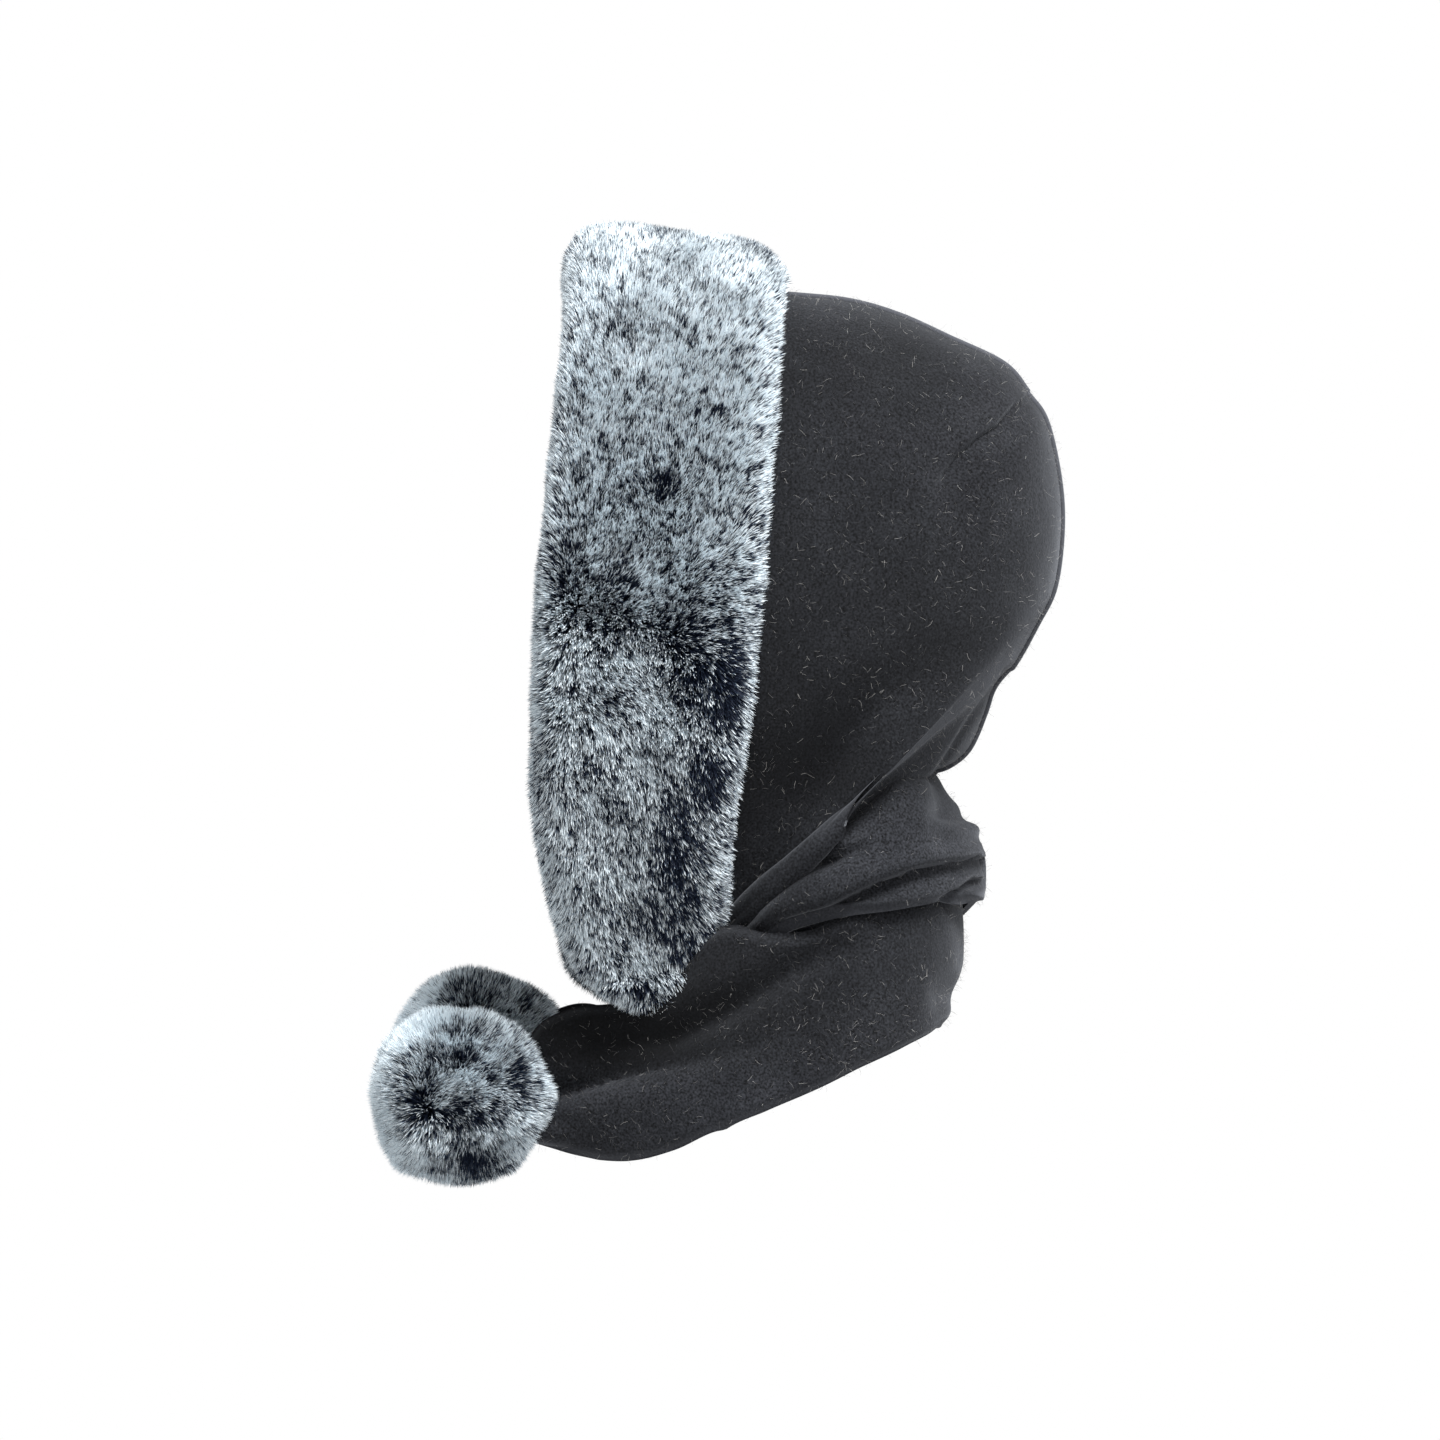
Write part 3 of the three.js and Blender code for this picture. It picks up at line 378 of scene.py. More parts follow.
def panel_normal(place, climb, side):
    """Outward normal of a panel's base surface."""
    low, high = np.maximum(climb - 0.002, 0), np.minimum(climb + 0.002, 1)
    before, after = np.maximum(place - 0.02, 0), np.minimum(place + 0.02, NECK_RIB)
    up = panel_point(place, high, side) - panel_point(place, low, side)
    back = panel_point(after, climb, side) - panel_point(before, climb, side)
    normal = np.cross(back, up) * np.asarray(side, float)[..., None]
    normal[..., 0] = np.where(climb > 0.998, 0, normal[..., 0])
    return unit(normal)


def climb_near_seam(place, distance):
    """Climb at which a rib comes within a distance of the centre plane."""
    widest = blend_rows(RIBS, place)[4] * HOOD_HALF_WIDTH
    cosine = ((distance - SEAM_GAP / 2) / (widest - SEAM_GAP / 2)) ** (1 / 0.85)
    return CLIMB_AT_WIDEST + (1 - CLIMB_AT_WIDEST) * np.arccos(cosine) / (math.pi / 2)


def fold_relief(points, folds):
    """Height of a table's folds at points, in side view."""
    y, z = points[..., 1], points[..., 2]
    relief = np.zeros(y.shape)
    for line, above, below in folds:
        nearest = np.full(y.shape, 1e9)
        height = np.zeros(y.shape)
        for (y0, z0, h0), (y1, z1, h1) in zip(line, line[1:]):
            run_y, run_z = y1 - y0, z1 - z0
            along = ((y - y0) * run_y + (z - z0) * run_z) / (run_y**2 + run_z**2)
            inside = np.clip(along, 0, 1)
            away = np.hypot(y - y0 - inside * run_y, z - z0 - inside * run_z)
            width = np.where((z - z0) * run_y > (y - y0) * run_z, above, below)
            here = (h0 + (h1 - h0) * inside) * np.exp(-((away / width) ** 2))
            height = np.where(away < nearest, here, height)
            nearest = np.minimum(away, nearest)
        relief += height
    return relief


def painted_light_and_shade(points):
    """Painted light and shade at points, in side view, as a factor on the colour."""
    tone = np.ones(points.shape[:-1])
    for y, z, half_length, half_height, strength in PAINTED_LIGHT_AND_SHADE:
        side_y, side_z = (points[..., 1] - y) / half_length, (points[..., 2] - z) / half_height
        tone += strength * np.exp(-(side_y**2) - side_z**2)
    return np.clip(tone, 0.2, 3)


def grid_normals(grid):
    """Normals of a grid of points."""
    down = np.gradient(grid, axis=0)
    across = np.gradient(grid, axis=1)
    return unit(np.cross(down, across))


def new_object(name, data):
    """Object in the scene with this mesh, camera or lamp."""
    made = bpy.data.objects.new(name, data)
    bpy.context.scene.collection.objects.link(made)
    return made


def new_mesh(name, points, faces, material):
    """Mesh object from points in millimetres."""
    mesh = bpy.data.meshes.new(name)
    mesh.from_pydata((np.asarray(points).reshape(-1, 3) * 0.001).tolist(), [], faces)
    mesh.shade_smooth()
    mesh.materials.append(material)
    mesh.update()
    mesh.set_sharp_from_angle(angle=math.radians(55))
    return new_object(name, mesh)


def grid_faces(rows, columns, start=0, loop=False):
    """Quads between neighbouring rows and columns, closed round the columns for a loop."""
    faces = []
    for i in range(rows - 1):
        for j in range(columns if loop else columns - 1):
            k = (j + 1) % columns
            low, high = start + i * columns, start + (i + 1) * columns
            faces.append((low + j, high + j, high + k, low + k))
    return faces


def turned_outwards(points, faces):
    """Faces of a closed shape, turned round if they look inwards."""
    points = np.asarray(points).reshape(-1, 3)
    corners = points[[face[:3] for face in faces]] - points.mean(axis=0)
    volume = np.sum(np.cross(corners[:, 0], corners[:, 1]) * corners[:, 2])
    return faces if volume > 0 else [tuple(reversed(face)) for face in faces]


def capped_tube(grid):
    """Faces round a stack of rings of points, with a cap at both ends."""
    rings, columns = grid.shape[:2]
    faces = grid_faces(rings, columns, loop=True)
    faces.append(tuple(range(columns)))
    faces.append(tuple(reversed(range((rings - 1) * columns, rings * columns))))
    return turned_outwards(grid, faces)


def cloth_sheet(name, outer, inner, worn, material):
    """Closed sheet of cloth between two grids of points, with its painted sheen and its painted light
    and shade.
    """
    rows, columns = outer.shape[:2]
    count = rows * columns
    faces = grid_faces(rows, columns)
    faces += [tuple(reversed(face)) for face in grid_faces(rows, columns, count)]
    edge = list(range(columns))
    edge += [i * columns + columns - 1 for i in range(1, rows)]
    edge += [(rows - 1) * columns + j for j in range(columns - 2, -1, -1)]
    edge += [i * columns for i in range(rows - 2, 0, -1)]
    for a, b in zip(edge, edge[1:] + edge[:1]):
        faces.append((a, b, count + b, count + a))
    points = np.concatenate([outer.reshape(-1, 3), inner.reshape(-1, 3)])
    sheet = new_mesh(name, points, turned_outwards(points, faces), material)
    # Painted sheen and painted light and shade go on both faces of the sheet
    for label, values in (("worn", worn), ("nap", painted_light_and_shade(outer))):
        add_values(sheet.data, label, np.concatenate([values.ravel(), values.ravel()]))
    return sheet


def hood_panel(name, side, material):
    """One side panel with its half of the centre seam, the sewn dart and soft unevenness."""
    places = steps(PANEL_RIB_STEPS)
    seam_foot = climb_near_seam(places, SEAM_FOOT)
    low_climbs = np.linspace(0, CLIMB_AT_WIDEST, PANEL_LOWER_POINTS)[:-1]
    columns = [np.full(len(places), climb) for climb in low_climbs]
    columns += [
        CLIMB_AT_WIDEST + (seam_foot - CLIMB_AT_WIDEST) * share for share in steps(PANEL_UPPER_STEPS)
    ]
    lifts = [-SEAM_RIDGE_HEIGHT] * len(columns)
    worn = [0.0] * len(columns)
    for distance, lift, pale in SEAM_RIDGE:
        columns.append(climb_near_seam(places, distance))
        lifts.append(lift)
        worn.append(pale)
    columns.append(np.ones(len(places)))
    lifts.append(SEAM_EDGE_LIFT)
    worn.append(1.0)
    climb = np.stack(columns, axis=1)
    place = np.repeat(places[:, None], climb.shape[1], axis=1)
    base = panel_point(place, climb, side)
    normal = panel_normal(place, climb, side)
    behind = soft_step(*RELIEF_START, place)
    fading = soft_step(0, 0.1, 1 - climb)
    relief = fold_relief(base, PANEL_FOLDS) + clouds(base, PANEL_UNEVEN, side) * fading
    lift = (np.array(lifts)[None, :] + relief) * behind
    outer = base + normal * lift[..., None]
    under = np.minimum(lift, -SEAM_RIDGE_HEIGHT * behind) - PANEL_CLOTH
    # Painted sheen along the lower fold rim, joined with that of the seam ridge
    rim = RIM_PAINTED_SHEEN * np.exp(-(((place - RIM_RIB) / 1.2) ** 2)) * soft_step(0.25, 0.5, climb)
    pale = np.maximum(np.array(worn)[None, :] * behind, rim)
    return cloth_sheet(name, outer, base + normal * under[..., None], pale, material)


def neck_line_z(y):
    """Height of the panels' lower edge in side view."""
    chin = CHIN_FRONT_Z + CHIN_LIFT * np.clip((y + FRONT_REACH) / CHIN_LENGTH, 0, 1)
    rise = np.minimum((y - CHIN_REAR_Y) / (NAPE_Y - CHIN_REAR_Y), 1)
    return np.where(y < CHIN_REAR_Y, chin, CHIN_REAR_Z + (NAPE_Z - CHIN_REAR_Z) * rise) - SCARF_GAP


def tail_line(rows, place):
    """Middle line of a tail, seen from above."""
    across, along = blend_rows(rows, place)[:2]
    return np.stack([across * WRAP_HALF_WIDTH, WRAP_FRONT_Y + along * WRAP_DEPTH], axis=-1)


def tail_run(rows, place):
    """Direction of a tail's middle line."""
    after = tail_line(rows, np.minimum(place + 0.05, len(rows) - 1))
    return unit(after - tail_line(rows, np.maximum(place - 0.05, 0)))


def scarf_tail(name, rows, material):
    """One scarf tail, creased along its run and gathered at both ends."""
    facing = 1 if rows[0][0] > 0 else -1
    last = len(rows) - 1
    places = np.linspace(0, last, TAIL_POINTS[0])
    down = (0.5 - 0.5 * np.cos(np.linspace(0, math.pi, TAIL_POINTS[1])))[None, :]
    top, bottom, tuck, flare = blend_rows(rows, places)[2:]
    middle, run = tail_line(rows, places), tail_run(rows, places)
    outwards = np.stack([-facing * run[:, 1], facing * run[:, 0], 0 * places], axis=-1)[:, None, :]
    width = ((bottom - top) * SCARF_WIDTH)[:, None]
    upper = down < BULGE_HEIGHT
    share = np.where(upper, 1 - down / BULGE_HEIGHT, (down - BULGE_HEIGHT) / (1 - BULGE_HEIGHT))
    drawn = np.where(upper, tuck[:, None], flare[:, None]) * WRAP_STAND_OFF
    z = neck_line_z(middle[:, 1])[:, None] - top[:, None] * SCARF_WIDTH - width * down
    outer = np.empty(z.shape + (3,))
    outer[..., 0], outer[..., 1] = middle[:, 0, None], middle[:, 1, None]
    outer[..., 2] = z
    from_top, from_bottom = down * width, (1 - down) * width
    rolled = TAIL_ROLLED_TOP[0] * np.exp(-((from_top / TAIL_ROLLED_TOP[1]) ** 2))
    rolled = rolled + TAIL_ROLLED_BOTTOM[0] * np.exp(-((from_bottom / TAIL_ROLLED_BOTTOM[1]) ** 2))
    outer -= outwards * (drawn * share**2 + rolled)[..., None]
    normal = grid_normals(outer)
    normal *= np.sign(np.sum(normal * outwards, axis=-1, keepdims=True))
    near_side = facing * outer[..., 0] > 0
    wraps = np.where(
        near_side, fold_relief(outer, LOWER_WRAP_FOLDS), fold_relief(outer, UPPER_WRAP_FOLDS)
    )
    nape_folds = UPPER_NAPE_FOLDS if facing < 0 else LOWER_NAPE_FOLDS
    wraps += fold_relief(outer, nape_folds) * soft_step(*NAPE_FOLDS_START, outer[..., 1])
    gather = np.maximum(1 - places / 3, 0) + np.maximum(1 - (last - places) / 2.5, 0) * 1.4
    pleats = np.sin(down * math.pi * TAIL_PLEATS + places[:, None] * 0.7)
    pleats = pleats * gather[:, None] * TAIL_PLEAT_HEIGHT
    uneven = clouds(outer, TAIL_UNEVEN, facing) * soft_step(0, 0.12, down * (1 - down) * 2)
    outer = outer + normal * np.clip(wraps + pleats + uneven, *TAIL_LIFT)[..., None]
    # Painted sheen along the rolled bottom edge
    pale = 0.35 * np.exp(-((from_bottom / 4) ** 2))
    return cloth_sheet(name, outer, outer - normal * SCARF_CLOTH, pale, material)


def trim_grid():
    """Rings of the fur trim's backing, from the left tip over the crown to the right tip."""
    rows = np.linspace(0, len(TRIM_ROWS) - 1, TRIM_RINGS)
    hang, climb, full, pile = blend_rows(TRIM_ROWS, rows)
    climb = np.clip(climb, 0, 1)
    halves = []
    for side in (1, -1):
        pick = slice(None) if side > 0 else slice(-2, None, -1)
        half = [values[pick] for values in (hang, climb, full, pile)]
        halves.append(np.stack(half + [np.full(len(half[0]), side)]))
    hang, climb, full, pile, side = np.concatenate(halves, axis=1)[:, :, None]
    rib_per_back = TRIM_REAR_RIB * TRIM_WIDTH / (RIBS[TRIM_REAR_RIB, 0] * HOOD_DEPTH)
    rear_share = TRIM_REAR_SHARE - TRIM_REAR_LOSS * np.clip(climb * 2, 0, 1)
    back, high = TRIM_SECTION[:, 0][None, :] * rear_share, TRIM_SECTION[:, 1][None, :]
    outer_place = rib_per_back * (0.5 + (np.maximum(back, 0) - 0.5) * full)
    ahead = np.maximum(-back, 0) * TRIM_OVERHANG * full * BACKING_SHARE
    # The backing keeps most of its overhang at the chin and the crown, the least half way up
    ahead = ahead * (0.92 - 0.42 * soft_step(0.1, 0.5, climb) + 0.5 * soft_step(0.8, 1, climb))
    above = high * TRIM_PILE * pile * BACKING_SHARE
    height = FUR_GAP + np.where(high > 0, above, high * TRIM_LIP * full)
    shares = np.linspace(0, 1, TRIM_INNER_POINTS)[None, :]
    inner_place = TRIM_REAR_RIB * (0.5 + (shares * rear_share - 0.5) * full)
    inner_ahead = np.zeros(inner_place.shape)
    inner_ahead[:, 0] = FUR_GAP
    place = np.concatenate([outer_place, inner_place], axis=1)
    ahead = np.concatenate([ahead, inner_ahead], axis=1)
    height = np.concatenate([height, np.full(inner_place.shape, FUR_GAP)], axis=1)
    place, climb, side = np.broadcast_arrays(place, climb, side)
    ring = panel_point(place, climb, side)
    forward = unit(panel_point(0 * place, climb, side) - panel_point(0 * place + 0.2, climb, side))
    ring = ring + forward * ahead[..., None] + panel_normal(place, climb, side) * height[..., None]
    ring[..., 2] -= hang * TRIM_TIP
    ring[..., 0] += side * hang * TRIM_TIP * TIP_SPREAD
    ring[..., 1] += hang * TIP_BACK + CHIN_BACK * (1 - soft_step(0, 0.14, climb))
    ring[..., 1] += np.where(side < 0, RIGHT_CHIN_BACK * (1 - soft_step(0, 0.25, climb)), 0)
    count = ring.shape[1]
    around = np.concatenate([ring, ring[:, :1]], axis=1).transpose(1, 0, 2).reshape(count + 1, -1)
    fine = blend_rows(around, np.linspace(0, count, TRIM_RING_POINTS + 1)[:-1])
    fine = fine.reshape(len(ring), 3, -1).transpose(0, 2, 1)
    ends = []
    lowest = np.array([0, 0, -TIP_ROUNDING])
    for end in (fine[0], fine[-1]):
        middle = end.mean(axis=0)
        ends.append(np.array([
            middle + (end - middle) * math.sin(turn) + lowest * math.cos(turn)
            for turn in np.linspace(0.06, math.pi / 2, TRIM_TIP_RINGS + 1)[:-1]
        ]))
    return np.concatenate([ends[0], fine, ends[1][::-1]])


def partings(points, spots):
    """How much darker the fur is at points in side view, and how the fibres part there."""
    dark = np.zeros(points.shape[:-1])
    push = np.zeros(points.shape)
    for y, z, half_length, half_height, strength in spots:
        side_y, side_z = (points[..., 1] - y) / half_length, (points[..., 2] - z) / half_height
        near = strength * np.exp(-(side_y**2) - side_z**2)
        dark = np.maximum(dark, near)
        push[..., 1] += near * side_y
        push[..., 2] += near * side_z
    return dark, push


def add_values(mesh, name, values):
    """Value or direction at each point of a mesh."""
    values = np.asarray(values, float).ravel()
    is_direction = len(values) == 3 * len(mesh.vertices)
    attribute = mesh.attributes.new(name, "FLOAT_VECTOR" if is_direction else "FLOAT", "POINT")
    attribute.data.foreach_set("vector" if is_direction else "value", values)


def node(tree, kind, wires=None, **settings):
    """Node with its settings, and its inputs wired or set."""
    made = tree.nodes.new(kind)
    for name, value in settings.items():
        setattr(made, name, value)
    for name, source in (wires or {}).items():
        if isinstance(name, int):
            socket = made.inputs[name]
        else:
            socket = next(s for s in made.inputs if s.name == name and s.enabled)
        if isinstance(source, bpy.types.NodeSocket):
            tree.links.new(source, socket)
        else:
            socket.default_value = source
    return made


def out(made, name=None):
    """Output of a node, the first one or by its name."""
    return next(s for s in made.outputs if s.enabled and name in (None, s.name))


def fibre_shape():
    """One fibre, a fine tapering sliver of unit length and width."""
    mesh = bpy.data.meshes.new("fibre")
    mesh.from_pydata([(-0.5, 0, 0), (0.5, 0, 0), (0, 0.2, 1)], [], [(0, 1, 2)])
    mesh.polygons.foreach_set("use_smooth", [True])
    add_values(mesh, "tip", [0, 0, 1])
    return new_object("fibre", mesh)


def lint_shape():
    """One slightly bent bit of lint, a thin ribbon of unit length."""
    mesh = bpy.data.meshes.new("lint")
    points = [
        (-0.5, 0, 0), (0.5, 0, 0), (-0.45, 0.4, 0.5), (0.45, 0.4, 0.5), (-0.3, 0.2, 1), (0.3, 0.2, 1),
    ]
    mesh.from_pydata(points, [], [(0, 1, 3, 2), (2, 3, 5, 4)])
    return new_object("lint", mesh)


def fibre_tree():
    """Geometry nodes that grow fibres along the comb direction, drawn together in clumps."""
    tree = bpy.data.node_groups.new("Fur fibres", "GeometryNodeTree")
    face = tree.interface
    face.new_socket(name="Backing", in_out="INPUT", socket_type="NodeSocketGeometry")
    for name, kind in (
        ("Fibre", "Object"), ("Density", "Float"), ("Length", "Float"), ("Width", "Float"),
        ("Curl", "Float"), ("Clump Size", "Float"), ("Clump Pull", "Float"),
        ("Wildness", "Float"), ("Frost Spread", "Float"), ("Gap Dark", "Float"), ("Seed", "Int"),
        ("Finish", "Material"),
    ):
        face.new_socket(name=name, in_out="INPUT", socket_type="NodeSocket" + kind)
    face.new_socket(name="Fibres", in_out="OUTPUT", socket_type="NodeSocketGeometry")
    given = node(tree, "NodeGroupInput").outputs

    def number(name):
        return out(node(tree, "GeometryNodeInputNamedAttribute", {"Name": name}, data_type="FLOAT"))

    def maths(operation, a, b):
        return out(node(tree, "ShaderNodeMath", {0: a, 1: b}, operation=operation))

    def vectors(operation, a, b):
        return out(node(tree, "ShaderNodeVectorMath", {0: a, 1: b}, operation=operation))

    def scaled(vector, factor):
        wires = {"Vector": vector, "Scale": factor}
        return out(node(tree, "ShaderNodeVectorMath", wires, operation="SCALE"))

    def scatter(low, high, kind="FLOAT", shift=0):
        seed = maths("ADD", given["Seed"], shift)
        wires = {"Min": low, "Max": high, "Seed": seed}
        return out(node(tree, "FunctionNodeRandomValue", wires, data_type=kind))

    density = maths("MULTIPLY", given["Density"], number("cover"))
    points = node(
        tree, "GeometryNodeDistributePointsOnFaces",
        {"Mesh": given["Backing"], "Density": density, "Seed": given["Seed"]},
    )
    place = out(node(tree, "GeometryNodeInputPosition"))
    clump = node(
        tree, "ShaderNodeTexVoronoi",
        {"Vector": place, "Scale": maths("DIVIDE", 1, given["Clump Size"])},
    )
    comb = out(node(
        tree, "GeometryNodeInputNamedAttribute", {"Name": "comb"}, data_type="FLOAT_VECTOR"
    ))
    pull = maths("DIVIDE", given["Clump Pull"], given["Length"])
    gathered = scaled(vectors("SUBTRACT", out(clump, "Position"), place), pull)
    wild = scaled(scatter((-1, -1, -1), (1, 1, 1), "FLOAT_VECTOR", 3), given["Wildness"])
    direction = vectors("ADD", vectors("ADD", comb, gathered), wild)
    aligned = node(tree, "FunctionNodeAlignRotationToVector", {"Vector": direction}, axis="Z")
    twist = node(tree, "FunctionNodeAxisAngleToRotation", {"Angle": scatter(0, 2 * math.pi, shift=5)})
    turned = node(
        tree, "FunctionNodeRotateRotation", {0: out(aligned), 1: out(twist)}, rotation_space="LOCAL"
    )
    reach = maths("MULTIPLY", given["Length"], number("reach"))
    length = maths("MULTIPLY", reach, scatter(0.72, 1.08, shift=7))
    size = node(
        tree, "ShaderNodeCombineXYZ",
        {"X": given["Width"], "Y": maths("MULTIPLY", length, given["Curl"]), "Z": length},
    )
    tuft = node(tree, "FunctionNodeSeparateColor", {"Color": out(clump, "Color")})
    tuft_frost = maths("MULTIPLY", maths("SUBTRACT", out(tuft), 0.5), given["Frost Spread"])
    fibre_frost = maths("MULTIPLY", scatter(-1, 1, shift=9), given["Frost Spread"])
    # Painted shade: fibres towards the edge of their clump come out darker, between the clumps
    rim = maths("MULTIPLY", maths("SUBTRACT", out(clump, "Distance"), 0.3), given["Gap Dark"])
    frost = maths("ADD", number("frost"), maths("ADD", tuft_frost, fibre_frost))
    frost = maths("SUBTRACT", frost, rim)
    frosted = node(
        tree, "GeometryNodeStoreNamedAttribute",
        {"Geometry": out(points), "Name": "frost", "Value": frost},
        data_type="FLOAT", domain="POINT",
    )
    shape = node(tree, "GeometryNodeObjectInfo", {"Object": given["Fibre"]})
    grown = node(
        tree, "GeometryNodeInstanceOnPoints",
        {
            "Points": out(frosted), "Instance": out(shape, "Geometry"),
            "Rotation": out(turned), "Scale": out(size),
        },
    )
    real = node(tree, "GeometryNodeRealizeInstances", {"Geometry": out(grown)})
    finish = node(
        tree, "GeometryNodeSetMaterial", {"Geometry": out(real), "Material": given["Finish"]}
    )
    node(tree, "NodeGroupOutput", {"Fibres": out(finish)})
    return tree


def grow_fibres(name, bed, values, tree, shape, material, settings, seed):
    """Plain mesh of the fibres that the tree grows on a bed, which is then removed."""
    for label, here in values.items():
        add_values(bed.data, label, here)
    grower = bed.modifiers.new("Fibres", "NODES")
    grower.node_group = tree
    identifiers = {s.name: s.identifier for s in tree.interface.items_tree if s.in_out == "INPUT"}
    for label, value in {**settings, "Fibre": shape, "Finish": material, "Seed": seed}.items():
        grower[identifiers[label]] = value
    view = bpy.context.evaluated_depsgraph_get()
    mesh = bpy.data.meshes.new_from_object(bed.evaluated_get(view))
    bed.modifiers.remove(grower)
    bpy.data.objects.remove(bed)
    turn_fibres_outwards(mesh)
    mesh.name = name
    return new_object(name, mesh)


def thinned(settings):
    share = 1.0
    density, width = settings["Density"] * share, settings["Width"] / share**0.5
    return {**settings, "Density": density, "Width": width}


def turn_fibres_outwards(mesh):
    """Turns the faces of the fibres that look into the pile."""
    count = len(mesh.polygons)
    starts, totals = np.empty(count, int), np.empty(count, int)
    normals = np.empty(count * 3)
    mesh.polygons.foreach_get("loop_start", starts)
    mesh.polygons.foreach_get("loop_total", totals)
    mesh.polygons.foreach_get("normal", normals)
    corners = np.empty(len(mesh.loops), int)
    mesh.loops.foreach_get("vertex_index", corners)
    growth = np.empty(len(mesh.vertices) * 3)
    mesh.attributes["outward"].data.foreach_get("vector", growth)
    facing = np.sum(normals.reshape(-1, 3) * growth.reshape(-1, 3)[corners[starts]], axis=1)
    for total in (3, 4):
        wrong = starts[(facing < 0) & (totals == total)][:, None] + np.arange(total)[None, :]
        corners[wrong] = corners[wrong[:, ::-1]]
    mesh.loops.foreach_set("vertex_index", corners)
    mesh.update(calc_edges=True)


def fur_trim(tree, shape, fur, backing_finish):
    """Backing band and four stretches of fibres."""
    grid = trim_grid()
    rings, columns = grid.shape[:2]
    lumps = 1.3 * cloud(grid, 30, 31)
    closed = np.concatenate([grid, grid[:, :1]], axis=1)
    normal = unit(np.cross(np.gradient(closed, axis=0), np.gradient(closed, axis=1))[:, :-1])
    centre = grid.mean(axis=1, keepdims=True)
    flip = np.sign(np.sum(normal * (grid - centre), axis=-1).mean())
    normal *= flip
    # 0 at the rear edge, 1 where the rolled lip ends, and more on the side of the cloth
    section = len(TRIM_SECTION)
    ring_share = np.arange(columns) / (columns * (section - 1) / (section + TRIM_INNER_POINTS))
    outside = ring_share <= 1.001
    grid[:, outside] += normal[:, outside] * lumps[:, outside, None]
    backing = new_mesh("fur_trim_backing", grid, capped_tube(grid), backing_finish)

    across = unit(np.gradient(closed, axis=1)[:, :-1])
    down = np.zeros(grid.shape)
    down[..., 2] = -1
    down -= normal * np.sum(down * normal, axis=-1, keepdims=True)
    # The fibres lean over both edges, hang at the chin and rise at the crown
    edge = np.clip(2 * ring_share - 1, -1, 1)[None, :, None]
    dark, push = partings(grid, TRIM_PARTINGS_AND_SHADE)
    fall = 0.9 - 1.8 * soft_step(TRIM_FALL_BELOW, TRIM_RISE_ABOVE, grid[..., 2])[..., None]
    lean = np.where(edge > 0, 0.35, 0.75)
    swirl = swirls(grid, 26, (41, 43, 47)) * 0.6
    comb = unit(normal + across * edge * lean + down * fall + swirl + push * 0.8)
    high = soft_step(*TRIM_CROWN, grid[..., 2])
    far_tip = soft_step(0, -20, grid[..., 0]) * soft_step(*FAR_TIP, grid[..., 2])
    fringe = 1 - soft_step(*FRINGE_WIDTH, ring_share)[None, :]
    fringe = fringe * (1 - soft_step(*FRINGE_END, grid[..., 2]))
    # Painted light makes the crown paler; darker in the partings, partly painted shade on the lower
    # rear, and on the far tip, but the fringe stays pale there
    tone = TRIM_FROST + (0.32 - 0.2 * high) * cloud(grid, 18, 51) + 0.5 * cloud(grid, 6, 53)
    tone += CROWN_PAINTED_LIGHT * high - dark * (1 - fringe) * PARTING_AND_PAINTED_SHADE - far_tip * FAR_TIP_DARK
    tone += fringe * (dark * 0.8 - 0.2)
    reach = 1 + 0.16 * cloud(grid, 20, 61) + far_tip * 0.35
    # Thick over the pile, thinner round the lip and none towards the cloth
    cover = np.where(ring_share < COVER_END, 1, np.where(outside, 0.5, 0))
    cover = np.tile(cover, (rings, 1))
    cover[0], cover[-1] = 1, 1
    values = {"comb": comb, "outward": normal, "frost": tone, "reach": reach, "cover": cover}
    pieces = [backing]
    quarters = np.linspace(0, rings - 1, 5).astype(int)
    for part, (low, high_ring) in enumerate(zip(quarters, quarters[1:])):
        strip = slice(low, high_ring + 1)
        faces = grid_faces(high_ring + 1 - low, columns, loop=True)
        if flip < 0:
            faces = [tuple(reversed(face)) for face in faces]
        bed = new_mesh("bed", grid[strip], faces, fur)
        here = {label: value[strip] for label, value in values.items()}
        pieces.append(grow_fibres(
            f"fur_trim_fibres_{part + 1}", bed, here, tree, shape, fur, thinned(TRIM_FIBRES), 7 + part
        ))
    return pieces


